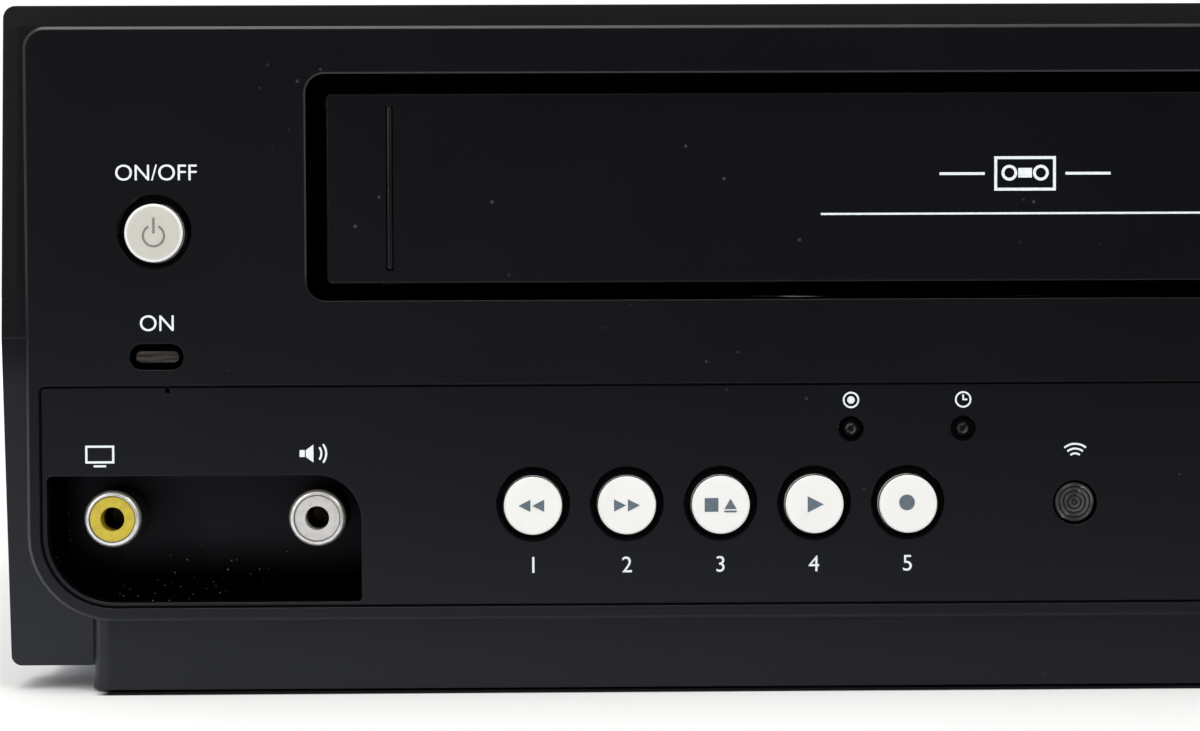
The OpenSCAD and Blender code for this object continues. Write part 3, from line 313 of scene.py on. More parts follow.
def charcoal_plastic():
    """Finely spark-grained black moulding of the front, dusty, with painted light and shade."""
    finish = Finish("charcoal_plastic", (0.005, 0.005, 0.006), 0.32, Specular_IOR_Level=0.335)
    grain = finish.noise(2600, 3)
    cloud = finish.noise(9, 3).step(0.35, 0.65)
    colour = finish.blend(cloud, (0.0009, 0.0010, 0.0017), (0.0015, 0.0016, 0.0024))
    x, _, z = finish.axes()
    # Painted light: a lighter tone on the flange's top band and up its left side
    side = 0.7 * x.fall(-216.4 * MM, -216.2 * MM) * z.step(30 * MM, 80 * MM)
    outer = z.step(96.9 * MM, 97.2 * MM).at_least(side)
    colour = finish.blend(outer, colour, (0.0052, 0.0051, 0.0048))
    # Painted highlights along the slot's edges and the flap's lower edge
    colour = finish.blend(bright_edges(finish), colour, (0.026, 0.027, 0.030))
    colour = finish.blend(dust(finish, 0.5), colour, (0.06, 0.06, 0.064))
    finish.to("Base Color", colour)
    finish.to("Roughness", 0.25 + 0.06 * finish.noise(55, 4) + 0.04 * grain)
    finish.relief(grain, 0.005 * MM, corner=0.22 * MM)
    # Painted shade: the side flange lightens slowly below its fold; slot and pit walls are black
    flange = x.fall(FLANGE_X, FLANGE_X + 0.2 * MM)
    below_fold = z.step(43.5 * MM, FOLD_Z) * z.fall(FOLD_Z, FOLD_Z + 0.2 * MM)
    finish.blacken(slot_walls(finish).at_least(0.5 * flange * below_fold))
    return finish.material


def seam_dust():
    """Grey sheet at the bottom of the trim's seam, finely mottled; its grey is painted shade."""
    finish = Finish("seam_dust", (0.004, 0.004, 0.005), 0.7, Specular_IOR_Level=0.10)
    seam_mottle = finish.noise(1100, 3)
    colour = finish.blend(seam_mottle, (0.0015, 0.0016, 0.0020), (0.0045, 0.0047, 0.0055))
    finish.to("Base Color", colour)
    finish.relief(seam_mottle, 0.01 * MM)
    return finish.material


def slot_walls(finish):
    """Painted shade: 1 on the walls between field and flap and on those of the power light, 0
    elsewhere.
    """
    x, y, z = finish.axes()
    across, up = abs(x - FLAP_X), abs(z - FLAP_Z)
    near = (across.fall(FLAP_HALF_W + 5 * MM, FLAP_HALF_W + 6 * MM)
            * up.fall(FLAP_HALF_H + 5 * MM, FLAP_HALF_H + 6 * MM))
    beside = (across - FLAP_HALF_W).at_least(up - FLAP_HALF_H).step(0.0, 0.1 * MM)
    walls = y.step(FACE_Y + 0.05 * MM, FACE_Y + 0.4 * MM) * near * beside
    light = centre("power_lens")
    pit = abs(x - light.x).fall(4.5 * MM, 4.6 * MM) * abs(z - light.z).fall(2.2 * MM, 2.3 * MM)
    return (walls + pit * y.step(FACE_Y + 0.05 * MM, FACE_Y + 0.15 * MM)).bounded()


def bright_edges(finish):
    """Painted highlights on the slot's upper and end edges and on the flap's lower edge."""
    x, _, z = finish.axes()
    flap_foot = FLAP_Z - FLAP_HALF_H
    across = (abs(x - FLAP_X) - SLOT_STRAIGHT_W).at_least(0.0)
    up = (abs(z - SLOT_Z) - SLOT_STRAIGHT_H).at_least(0.0)
    outside = distance(across, up) - SLOT_CORNER
    slot = (abs(outside - 0.10 * MM).fall(0.10 * MM, 0.20 * MM)
            * z.step(flap_foot - 1.5 * MM, flap_foot + 2 * MM))
    flap = (abs(z - flap_foot - 0.10 * MM).fall(0.06 * MM, 0.16 * MM)
            * abs(x - FLAP_X).fall(FLAP_HALF_W, FLAP_HALF_W + 0.1 * MM))
    return (slot + flap).bounded()


def recess_black():
    """Satin black of the jack recess, dusty towards its floor and left end, black there as painted
    shade.
    """
    finish = Finish("recess_black", (0.004, 0.004, 0.005), 0.5, Specular_IOR_Level=0.18)
    x, _, z = finish.axes()
    # Painted shade: black towards the recess's floor and its left end, where dust specks show
    low = 1 - z.step(14.5 * MM, 24 * MM) * x.step(-213 * MM, -207.5 * MM)
    grain = finish.noise(900, 3)
    colour = finish.blend(low, (0.0030, 0.0032, 0.0042), (0.0001, 0.0001, 0.0001))
    specks = finish.cells(800).fall(0.07, 0.13) * finish.noise(110, 2).step(0.45, 0.55)
    finish.to("Base Color", finish.blend(specks * low, colour, (0.16, 0.15, 0.14)))
    finish.to("Roughness", 0.42 + 0.06 * grain)
    finish.blacken(low * (1 - specks))
    finish.relief(grain, 0.008 * MM)
    return finish.material


def gloss_black():
    """Polished black plastic with faint rub marks."""
    finish = Finish("gloss_black", (0.003, 0.003, 0.0035), 0.12, Coat_Weight=0.3)
    rub = finish.noise(70, 4, (1, 1, 5))
    colour = finish.blend(dust(finish, 0.6), (0.003, 0.003, 0.0036), (0.10, 0.10, 0.10))
    finish.to("Base Color", colour)
    finish.to("Roughness", 0.09 + 0.12 * rub.step(0.45, 0.8))
    finish.relief(finish.noise(400, 2), 0.002 * MM)
    return finish.material


def pale_cap():
    """Silver-white paint on the button caps."""
    finish = Finish("pale_cap", (0.66, 0.66, 0.64), 0.38)
    fleck = finish.noise(3200, 2)
    soil = finish.noise(240, 3).step(0.52, 0.8) * 0.5
    finish.to("Base Color", finish.blend(soil, (0.665, 0.66, 0.64), (0.58, 0.575, 0.55)))
    finish.to("Roughness", 0.33 + 0.12 * fleck)
    finish.relief(fleck, 0.004 * MM, corner=0.2 * MM)
    finish.blacken(cap_rim(finish))
    return finish.material


def cap_rim(finish):
    """1 on the outer half of a cap's bevelled rim, which lies in shade."""
    y = finish.axes()[1]
    return (y.step(CAP_Y + 0.14 * MM, CAP_Y + 0.18 * MM)
            * y.fall(CAP_Y + 0.34 * MM, CAP_Y + 0.40 * MM))


def warm_cap():
    """The power button's greyer, slightly warm paint."""
    finish = Finish("warm_cap", (0.51, 0.49, 0.44), 0.42)
    fleck = finish.noise(2400, 3)
    paint = finish.blend(fleck, (0.415, 0.404, 0.355), (0.475, 0.463, 0.412))
    x, _, z = finish.axes()
    middle = centre("btn_power")
    # Painted highlight: a lighter band round the cap's rim
    rim = distance(x - middle.x, z - middle.z).step(3.7 * MM, 4.0 * MM)
    finish.to("Base Color", finish.blend(rim, paint, (0.68, 0.68, 0.67)))
    finish.to("Roughness", 0.36 + 0.12 * fleck)
    finish.relief(fleck, 0.006 * MM, corner=0.2 * MM)
    finish.blacken(cap_rim(finish))
    return finish.material


def nickel():
    """Bright plating of the jacks, stained, and darker on their recessed front barrels as painted
    shade.
    """
    finish = Finish("nickel", (0.72, 0.69, 0.63), 0.18, 1.0)
    turned = finish.noise(900, 2, (1, 4, 1))
    stain = finish.noise(420, 3).step(0.5, 0.75)
    bright = finish.blend(stain, (0.78, 0.75, 0.70), (0.52, 0.47, 0.38))
    # Painted shade: the recessed front barrels are dark and rougher
    barrel_shade = finish.axes()[1].fall(-101 * MM, -100 * MM)
    finish.to("Base Color", finish.blend(barrel_shade, bright, (0.06, 0.056, 0.052)))
    finish.to("Roughness", 0.14 + 0.22 * turned + 0.3 * barrel_shade)
    finish.relief(turned, 0.004 * MM)
    return finish.material


def satin_nickel():
    """Bright satin plating, a little warm."""
    finish = Finish("satin_nickel", (0.78, 0.75, 0.70), 0.35, 0.85)
    wear = finish.noise(700, 3)
    return finish.follow(wear, (0.80, 0.77, 0.71), (0.66, 0.62, 0.55),
                         rough=(0.27, 0.14), depth=0.004, span=(0.4, 0.75))


def insulator(name, colour, deep):
    """Moulded insulator of a jack, a little dirty towards its bore."""
    finish = Finish(name, colour, 0.35)
    mottle = finish.noise(900, 3)
    return finish.follow(mottle, colour, deep,
                         rough=(0.28, 0.2), depth=0.01, span=(0.35, 0.75))


def smoked_lens():
    """Lens of the power light."""
    finish = Finish("smoked_lens", (0.04, 0.035, 0.03), 0.2, Specular_IOR_Level=0.2)
    streak = finish.noise(600, 3, (0.2, 1, 3))
    return finish.follow(streak, (0.012, 0.010, 0.009), (0.06, 0.050, 0.045),
                         rough=(0.15, 0.2), span=(0.35, 0.7))


def tinted_led():
    """Smoke-tinted lens of an unlit lamp: a paler rim, a painted highlight, round a dark middle.
    """
    finish = Finish("tinted_led", (0.02, 0.02, 0.02), 0.14, Specular_IOR_Level=0.3)
    spot = finish.noise(1500, 2)
    x, _, z = finish.axes()
    # Painted highlight: a pale ring round the middle of each lens, broken into spots
    rim = 0.0
    for place in LIGHT_PLACES:
        away = distance(x - place, z - LIGHT_ROW_Z)
        rim = abs(away - 0.62 * MM).fall(0.08 * MM, 0.22 * MM) + rim
    pale = rim.bounded() * spot.step(0.25, 0.7)
    finish.to("Base Color", finish.blend(pale, (0.003, 0.003, 0.003), (0.10, 0.095, 0.09)))
    finish.to("Roughness", 0.10 + 0.15 * spot)
    finish.relief(finish.noise(700, 2), 0.03 * MM, corner=0.25 * MM)
    return finish.material


def ir_plastic():
    """Clear grey plastic over the remote eye, with painted highlights in rings."""
    finish = Finish("ir_plastic", (0.02, 0.02, 0.02), 0.08, Specular_IOR_Level=0.25)
    x, _, z = finish.axes()
    away = distance(x - EYE_X, z - EYE_Z) / EYE_RING
    haze = finish.noise(800, 3)
    # Painted highlights: pale rings that follow the lens's ripples, broken into patches
    sparkle = 0.25 + 0.75 * finish.noise(420, 2).step(0.35, 0.65)
    rings = (0.5 + 0.5 * (away * math.tau).cosine()) * sparkle
    finish.to("Base Color", finish.blend(rings, (0.004, 0.004, 0.004), (0.075, 0.073, 0.068)))
    finish.to("Roughness", 0.05 + 0.10 * haze)
    return finish.material


def lacquer_black():
    """Deep black lacquer of the rings round the buttons and lights."""
    finish = Finish("lacquer_black", (0.0004, 0.0004, 0.0006), 0.05, Specular_IOR_Level=0.03)
    rub = finish.noise(300, 3)
    colour = finish.blend(rub.step(0.4, 0.7), (0.0003, 0.0003, 0.0005), (0.0008, 0.0008, 0.0010))
    finish.to("Base Color", colour)
    finish.to("Roughness", 0.035 + 0.03 * rub)
    finish.relief(finish.noise(240, 2), 0.004 * MM)
    return finish.material


def phenolic_board():
    """Brown board with solder-mask print."""
    finish = Finish("phenolic_board", (0.16, 0.09, 0.03), 0.5)
    weave = finish.noise(300, 4)
    tracks = finish.cells(160, "DISTANCE_TO_EDGE").step(0.02, 0.06)
    base = finish.blend(weave, (0.13, 0.07, 0.022), (0.21, 0.125, 0.045))
    finish.to("Base Color", finish.blend(tracks, (0.03, 0.10, 0.035), base))
    finish.to("Roughness", 0.35 + 0.3 * weave)
    finish.relief(tracks, 0.03 * MM)
    return finish.material


def zinc_sheet():
    """Zinc-plated sheet with rolling marks and faint spangle."""
    finish = Finish("zinc_sheet", (0.55, 0.56, 0.58), 0.35, 1.0)
    rolled = finish.noise(350, 3, (0.08, 1.6, 1.6))
    spangle = finish.cells(90)
    tone = (rolled * 0.6 + spangle * 0.6).bounded()
    finish.to("Base Color", finish.blend(tone, (0.62, 0.63, 0.66), (0.42, 0.42, 0.43)))
    finish.to("Roughness", 0.24 + 0.26 * rolled)
    finish.relief(rolled, 0.01 * MM)
    return finish.material


def black_sheet():
    """Dark steel of the cassette holder, its darkness and the lightless black below the slot's
    foot painted shade.
    """
    finish = Finish("black_sheet", (0.02, 0.02, 0.021), 0.45, 0.3, Specular_IOR_Level=0.3)
    rolled = finish.noise(350, 3, (0.08, 1.6, 1.6))
    finish.follow(rolled, (0.005, 0.005, 0.006), (0.024, 0.024, 0.026),
                  rough=(0.5, 0.2), depth=0.01, span=(0.45, 0.8))
    finish.blacken(finish.axes()[2].fall(58.6 * MM, 59.2 * MM))
    return finish.material


def machined_aluminium(name="machined_aluminium", seam=None):
    """Turned aluminium; a seam, given by its two heights, is lightless black as painted shade."""
    finish = Finish(name, (0.78, 0.79, 0.81), 0.22, 1.0)
    lathe = finish.noise(1200, 2, (0.3, 0.3, 6))
    finish.follow(lathe, (0.80, 0.81, 0.83), (0.66, 0.67, 0.69),
                  rough=(0.14, 0.2), depth=0.004)
    if seam:
        z = finish.axes()[2]
        foot, top = seam
        finish.blacken(z.step(foot - 0.05 * MM, foot) * z.fall(top, top + 0.05 * MM))
    return finish.material


def ground_steel():
    """Ground shafts, pins and rods."""
    finish = Finish("ground_steel", (0.6, 0.6, 0.61), 0.25, 1.0)
    marks = finish.noise(1500, 2, (1, 1, 0.1))
    return finish.follow(marks, (0.66, 0.66, 0.68), (0.48, 0.47, 0.47),
                         rough=(0.18, 0.22), depth=0.004)


def motor_can():
    """Drawn steel cans of the motors."""
    finish = Finish("motor_can", (0.45, 0.45, 0.47), 0.3, 1.0)
    drawn = finish.noise(700, 3, (2, 2, 0.15))
    return finish.follow(drawn, (0.50, 0.50, 0.52), (0.34, 0.34, 0.35),
                         rough=(0.24, 0.24), depth=0.006)


def white_acetal():
    """Reels and gears, slightly clouded."""
    finish = Finish("white_acetal", (0.74, 0.73, 0.68), 0.42)
    cloud = finish.noise(120, 4)
    finish.follow(cloud, (0.78, 0.77, 0.73), (0.66, 0.64, 0.57), rough=(0.34, 0.2))
    finish.relief(finish.noise(1600, 2), 0.006 * MM)
    return finish.material


def roller_rubber():
    """Ground rubber of the pinch roller."""
    finish = Finish("roller_rubber", (0.018, 0.018, 0.018), 0.8)
    ground = finish.noise(1800, 4)
    return finish.follow(ground, (0.012, 0.012, 0.012), (0.035, 0.034, 0.032),
                         rough=(0.68, 0.25), depth=0.03)


def frame_plastic():
    """Plain black moulding of the disc loader."""
    finish = Finish("frame_plastic", (0.014, 0.014, 0.015), 0.5)
    flow = finish.noise(60, 4, (1, 0.3, 1))
    grain = finish.noise(1500, 3)
    finish.to("Base Color", finish.blend(flow, (0.010, 0.010, 0.011), (0.022, 0.022, 0.023)))
    finish.to("Roughness", 0.42 + 0.2 * grain)
    finish.relief(grain, 0.02 * MM)
    return finish.material


def tray_plastic():
    """Dark grey moulding of the tray and the turntable."""
    finish = Finish("tray_plastic", (0.028, 0.028, 0.031), 0.45)
    grain = finish.noise(1900, 3)
    cloud = finish.noise(30, 3)
    finish.to("Base Color", finish.blend(cloud, (0.022, 0.022, 0.025), (0.036, 0.036, 0.040)))
    finish.to("Roughness", 0.38 + 0.2 * grain)
    finish.relief(grain, 0.015 * MM)
    return finish.material


def painted_steel(name, unlit_before=None):
    """Black leather-grain paint on sheet steel; its inner side before a given Y is lightless
    black, painted shade.
    """
    finish = Finish(name, (0.012, 0.012, 0.013), 0.5)
    grain = finish.cells(900, "SMOOTH_F1")
    fine = finish.noise(2200, 3)
    colour = finish.blend(grain.step(0.2, 0.7), (0.009, 0.009, 0.010), (0.017, 0.017, 0.018))
    finish.to("Base Color", finish.blend(dust(finish, 0.35), colour, (0.10, 0.10, 0.10)))
    finish.to("Roughness", 0.42 + 0.22 * fine)
    finish.relief(grain * 0.8 + fine * 0.4, 0.05 * MM)
    if unlit_before is not None:
        finish.blacken(finish.axes()[1].fall(unlit_before - 0.1 * MM, unlit_before))
    return finish.material


def foot_rubber():
    """Scuffed rubber of the feet and the lead's bush."""
    finish = Finish("foot_rubber", (0.014, 0.014, 0.014), 0.85)
    scuff = finish.noise(500, 4)
    return finish.follow(scuff, (0.012, 0.012, 0.012), (0.05, 0.048, 0.045),
                         rough=(0.7, 0.25), depth=0.04, span=(0.45, 0.8))


def oxide_screw():
    """Black oxide, worn bright in places."""
    finish = Finish("oxide_screw", (0.035, 0.035, 0.036), 0.35, 1.0)
    wear = finish.noise(1400, 3)
    return finish.follow(wear, (0.03, 0.03, 0.032), (0.22, 0.21, 0.20),
                         rough=(0.28, 0.3), depth=0.01, span=(0.5, 0.8))


def coil_tape():
    """Yellow tape round a wound core, in bands."""
    finish = Finish("coil_tape", (0.5, 0.36, 0.05), 0.35)
    bands = finish.noise(900, 1, (0.05, 0.05, 2))
    return finish.follow(bands, (0.56, 0.40, 0.05), (0.42, 0.28, 0.04),
                         rough=(0.28, 0.2), depth=0.06, span=(0.4, 0.6))


def bare_aluminium():
    """Extruded aluminium with draw marks."""
    finish = Finish("bare_aluminium", (0.6, 0.61, 0.62), 0.38, 1.0)
    drawn = finish.noise(900, 3, (1, 1, 0.06))
    return finish.follow(drawn, (0.66, 0.67, 0.68), (0.50, 0.50, 0.51),
                         rough=(0.3, 0.25), depth=0.02)


def tinplate():
    """Spangled tinplate, wiped in one direction."""
    finish = Finish("tinplate", (0.62, 0.61, 0.58), 0.28, 1.0)
    spangle = finish.cells(220)
    wipe = finish.noise(160, 4, (0.2, 1, 1))
    finish.to("Base Color", finish.blend(spangle, (0.68, 0.67, 0.65), (0.52, 0.51, 0.48)))
    finish.to("Roughness", 0.18 + 0.3 * wipe)
    finish.relief(wipe, 0.006 * MM)
    return finish.material


def ink(name, colour, thin):
    """Screen-printed ink, a little uneven."""
    finish = Finish(name, colour, 0.55)
    cover = finish.noise(4200, 3)
    return finish.follow(cover, colour, thin, rough=(0.48, 0.16), span=(0.35, 0.8))


def dark_contact():
    """Tarnished spring contact deep in a jack."""
    finish = Finish("dark_contact", (0.08, 0.06, 0.04), 0.35, 1.0)
    tarnish = finish.noise(1700, 3)
    return finish.follow(tarnish, (0.11, 0.08, 0.05), (0.02, 0.014, 0.01),
                         rough=(0.3, 0.3))


CHARCOAL = charcoal_plastic()
SEAM_SHADE_SHEET = seam_dust()
LACQUER = lacquer_black()
CAP = pale_cap()
SATIN = satin_nickel()
TRAY = tray_plastic()
ZINC = zinc_sheet()
SHADED_SHEET = black_sheet()
STEEL = ground_steel()
ALUMINIUM = machined_aluminium()
ACETAL = white_acetal()
LOADER = frame_plastic()
COVER = painted_steel("painted_cover")
RUBBER = foot_rubber()
BOARD = phenolic_board()
WHITE_INK = ink("white_ink", (0.66, 0.70, 0.72), (0.52, 0.56, 0.58))
GREY_INK = ink("grey_ink", (0.070, 0.098, 0.122), (0.108, 0.140, 0.164))
DULL_INK = ink("dull_ink", (0.13, 0.127, 0.12), (0.20, 0.19, 0.18))
CONTACT = dark_contact()

NODE_FINISH = {
    "front_panel": CHARCOAL, "control_trim": CHARCOAL, "cassette_door": CHARCOAL,
    "tray_bezel": CHARCOAL, "jack_well": recess_black(), "rear_jacks": gloss_black(),
    "jack_barrels": nickel(),
    "yellow_inserts": insulator("yellow_insulator", (0.48, 0.38, 0.025), (0.40, 0.30, 0.02)),
    "white_inserts": insulator("white_insulator", (0.48, 0.47, 0.45), (0.40, 0.39, 0.37)),
    "red_inserts": insulator("red_insulator", (0.42, 0.03, 0.025), (0.30, 0.02, 0.02)),
    "power_lens": smoked_lens(), "indicator_leds": tinted_led(), "ir_lens": ir_plastic(),
    "btn_power": warm_cap(), "key_board": BOARD, "circuit_boards": BOARD,
    "cassette_holder": SHADED_SHEET, "deck_brackets": SHADED_SHEET, "deck_plate": ZINC,
    "pinch_arm": ZINC, "clamp_bridge": ZINC, "chassis": ZINC, "lower_drum": ALUMINIUM,
    "head_drum": machined_aluminium("drum_aluminium", DRUM_SEAM),
    "laser_sled": ALUMINIUM, "tape_heads": STEEL, "capstan": STEEL, "supply_guide": STEEL,
    "takeup_guide": STEEL, "traverse_metal": STEEL, "motors": motor_can(),
    "pinch_roller": roller_rubber(), "supply_reel": ACETAL, "takeup_reel": ACETAL,
    "cam_gear": ACETAL, "tray_gear": ACETAL, "clamp_disc": ACETAL, "loader_frame": LOADER,
    "traverse": LOADER, "disc_tray": TRAY, "turntable": TRAY, "top_cover": COVER,
    "rear_panel": painted_steel("painted_rear", REAR_INNER_Y), "feet": RUBBER,
    "cord_gland": RUBBER, "screws": oxide_screw(),
    "transformer": coil_tape(), "heatsink": bare_aluminium(), "tuner": tinplate(),
}


def dress_nodes():
    """Gives every carried-over node its finish; the plain buttons share the cap's."""
    for name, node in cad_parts.items():
        node.data.materials.clear()
        node.data.materials.append(NODE_FINISH.get(name, CAP))


# ---------------------------------------------------------------- piece building

LABEL_H = 2.3 * MM
RING_STEPS, ARCH_STEPS = 64, 12


def stand(name, mesh, material):
    """Puts a bmesh into the scene as an object of one material."""
    data = bpy.data.meshes.new(name)
    mesh.to_mesh(data)
    mesh.free()
    data.materials.append(material)
    made = bpy.data.objects.new(name, data)
    bpy.context.scene.collection.objects.link(made)
    return made


def piece(name, mesh, material, body):
    """Turns a bmesh into an object that rides on a body."""
    bmesh.ops.remove_doubles(mesh, verts=mesh.verts, dist=1e-7)
    bmesh.ops.recalc_face_normals(mesh, faces=mesh.faces)
    made = stand(name, mesh, material)
    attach(made, body)
    return made


def smooth(made, angle):
    """Shades smooth, with edges sharper than the angle in degrees left sharp."""
    made.data.shade_smooth()
    made.data.set_sharp_from_angle(angle=math.radians(angle))
    return made


def turn_profile(mesh, profile, x, z, steps):
    """Spins points of (radius, y) round the line along Y through x and z."""
    verts = [mesh.verts.new((x + radius, y, z)) for radius, y in profile]
    edges = [mesh.edges.new(pair) for pair in zip(verts, verts[1:])]
    bmesh.ops.spin(mesh, geom=verts + edges, cent=(x, 0, z), axis=(0, 1, 0),
                   angle=math.tau, steps=steps, use_merge=True, use_duplicate=False)


def skin(mesh, rows):
    """Quads between neighbouring rows of vertices."""
    for row, following in zip(rows, rows[1:]):
        for i in range(len(row) - 1):
            mesh.faces.new((row[i], row[i + 1], following[i + 1], following[i]))


def thicken(mesh, faces):
    """Gives flat faces the slight height of print."""
    grown = bmesh.ops.extrude_face_region(mesh, geom=faces)
    moved = [item for item in grown["geom"] if isinstance(item, bmesh.types.BMVert)]
    bmesh.ops.translate(mesh, verts=moved, vec=(0, -TINY, 0))


def flat(mesh, points, y):
    """A thin flat shape from (x, z) points, standing a little proud of y."""
    thicken(mesh, [mesh.faces.new([mesh.verts.new((x, y, z)) for x, z in points])])


def arc(x, z, radius, start, stop, steps=32):
    """Points on an arc, in degrees from +X towards +Z."""
    turns = [math.radians(start + (stop - start) * i / steps) for i in range(steps + 1)]
    return [(x + radius * math.cos(t), z + radius * math.sin(t)) for t in turns]


def ring_band(x, z, radius, width, start, stop):
    """Closed outline of part of a ring."""
    outer = arc(x, z, radius, start, stop)
    inner = arc(x, z, radius - width, stop, start)
    return outer + inner


def hoop(radius, width, x=0.0, z=0.0):
    """A full ring as two half bands."""
    return [ring_band(x, z, radius, width, turn, turn + 180) for turn in (0, 180)]


def bar(x0, z0, x1, z1):
    """Rectangle between two corners."""
    return [(x0, z0), (x1, z0), (x1, z1), (x0, z1)]


def frame_lines(w, h, width):
    """Four bars round a rectangle of a width and a height, centred on 0."""
    x, z = w / 2, h / 2
    return [bar(-x, -z, x, -z + width), bar(-x, z - width, x, z),
            bar(-x, -z + width, -x + width, z - width), bar(x - width, -z + width, x, z - width)]


def print_sign(name, x, z, shapes, y=TRIM_Y, material=WHITE_INK, body="case"):
    """Prints flat shapes whose points are in millimetres from x and z."""
    mesh = bmesh.new()
    for points in shapes:
        flat(mesh, [(x + across * MM, z + up * MM) for across, up in points], y)
    piece(name, mesh, material, body)


def print_words(name, words, x, z, y):
    """Plain lettering centred on a place, made a mesh before it is put there."""
    curve = bpy.data.curves.new(name, "FONT")
    curve.body = words
    curve.align_x, curve.align_y = "CENTER", "CENTER"
    curve.size = 1.0
    holder = bpy.data.objects.new(name + ".curve", curve)
    bpy.context.scene.collection.objects.link(holder)
    bpy.context.view_layer.update()
    mesh = bmesh.new()
    mesh.from_mesh(holder.evaluated_get(bpy.context.evaluated_depsgraph_get()).to_mesh())
    bpy.data.objects.remove(holder)
    foot = min(vert.co.y for vert in mesh.verts)
    top = max(vert.co.y for vert in mesh.verts)
    scale, middle = LABEL_H / (top - foot), (top + foot) / 2
    for vert in mesh.verts:
        vert.co = Vector((x + vert.co.x * scale, y, z + (vert.co.y - middle) * scale))
    thicken(mesh, mesh.faces[:])
    piece(name, mesh, WHITE_INK, "case")


# ---------------------------------------------------------------- marks on the caps

def triangle(x, z, width, height, way):
    """Pointer towards way: 1 right, -1 left."""
    return [(x - way * width / 2, z - height / 2), (x + way * width / 2, z),
            (x - way * width / 2, z + height / 2)]


def upward(x, z, width, height, way=1):
    """Pointer that stands on its base: way 1 points up, -1 down."""
    return [(x - width / 2, z - way * height / 2), (x + width / 2, z - way * height / 2),
            (x, z + way * height / 2)]


def double(x, way):
    """Two pointers, one behind the other."""
    return [triangle(x + side, 0, 1.75, 1.8, way) for side in (-1.0, 1.0)]


def eject(x):
    """A pointer up, over a bar."""
    return [upward(x, 0.15, 1.8, 1.55), bar(x - 0.9, -1.1, x + 0.9, -0.83)]


def square(x):
    """A stop sign."""
    return bar(x - 1.0, -1.0, x + 1.0, 1.0)


# Control symbol of each cap, in millimetres from the cap's middle
CAP_MARKS = {
    "btn_rewind": double(-0.24, -1),
    "btn_forward": double(0, 1),
    "btn_stop": [square(-1.36)] + eject(1.4),
    "btn_play": [triangle(0.15, 0, 2.35, 2.4, 1)],
    "btn_record": [arc(-0.2, 0.22, 1.15, 0, 351.6, 42)],
    "btn_source": [triangle(0.75, 0.7, 1.5, 1.3, 1), bar(-1.5, 0.58, 0.0, 0.82),
                   triangle(-0.75, -0.7, 1.5, 1.3, -1), bar(0.0, -0.82, 1.5, -0.58)],
    "btn_down": [upward(0, 0, 2.3, 1.9, -1)],
    "btn_up": [upward(0, 0, 2.3, 1.9)],
    "btn_tray": eject(0),
    "btn_disc_stop": [square(0)],
    "btn_disc_play": [triangle(0.15, 0, 2.35, 2.4, 1)],
    "btn_power": [ring_band(0, -0.38, 1.68, 0.32, 118, 422), bar(-0.17, -0.05, 0.17, 2.25)],
}


def mark_caps():
    """Prints the symbols; the one on the power button is duller."""
    for node, shapes in CAP_MARKS.items():
        middle = centre(node)
        material = DULL_INK if node == "btn_power" else GREY_INK
        print_sign(node.replace("btn_", "mark_"), middle.x, middle.z, shapes, CAP_Y - TINY / 2,
                   material, node)


# ---------------------------------------------------------------- marks on the front

NUMBER_Z = 18.5 * MM
POWER_WORDS = (("power_word", "ON/OFF", 75.65 * MM), ("light_word", "ON", 53.9 * MM))
SCREEN_X, SPEAKER_X, JACK_SIGN_Z = -204.4 * MM, -174 * MM, 34.9 * MM
LIGHT_SIGN_Z, REMOTE_SIGN_Z, DOOR_SIGN_Z = 42.3 * MM, 33.3 * MM, 75.15 * MM


def label_row():
    """Plain numbers under the buttons, in the order in which they stand."""
    order = [node for node in CAP_MARKS if node != "btn_power"]
    for number, node in enumerate(order, 1):
        print_words(f"number_{number}", str(number), centre(node).x, NUMBER_Z, TRIM_Y)


def label_switch():
    """Plain words over the power button and its light."""
    for name, words, z in POWER_WORDS:
        print_words(name, words, centre("btn_power").x + 0.3 * MM, z, FACE_Y)


def label_jacks():
    """A screen over the picture jack and a loudspeaker over the sound jack."""
    screen = frame_lines(4.2, 2.6, 0.32) + [bar(-0.9, -1.85, 0.9, -1.55)]
    print_sign("screen_sign", SCREEN_X, JACK_SIGN_Z, screen)
    horn = [(-0.6, -0.5), (0.5, -1.3), (0.5, 1.3), (-0.6, 0.5)]
    waves = [ring_band(0.2, 0, radius, 0.3, -38, 38) for radius in (1.6, 2.3)]
    speaker = [horn, bar(-1.5, -0.5, -0.75, 0.5)] + waves
    print_sign("sound_sign", SPEAKER_X, JACK_SIGN_Z, speaker)


def label_lights():
    """A ringed dot, a clock and two slot signs over the lights, and waves over the window."""
    ring, hub = hoop(1.2, 0.26), hoop(0.5, 0.22)
    hands = [bar(-0.12, -0.12, 0.12, 0.72), bar(0.12, -0.12, 0.6, 0.12)]
    reels = hoop(0.5, 0.22, -0.85) + hoop(0.5, 0.22, 0.85)
    signs = {"dot_sign": ring + [arc(0, 0, 0.55, 0, 345, 23)], "clock_sign": ring + hands,
             "tape_sign": frame_lines(3.8, 2.2, 0.28) + reels, "disc_sign": ring + hub}
    for x, (name, shapes) in zip(LIGHT_PLACES, signs.items()):
        print_sign(name, x, LIGHT_SIGN_Z, shapes)
    waves = [ring_band(0, 0, radius, 0.28, 50, 130) for radius in (1.2, 1.9, 2.6)]
    print_sign("remote_sign", centre("ir_lens").x, REMOTE_SIGN_Z, waves)


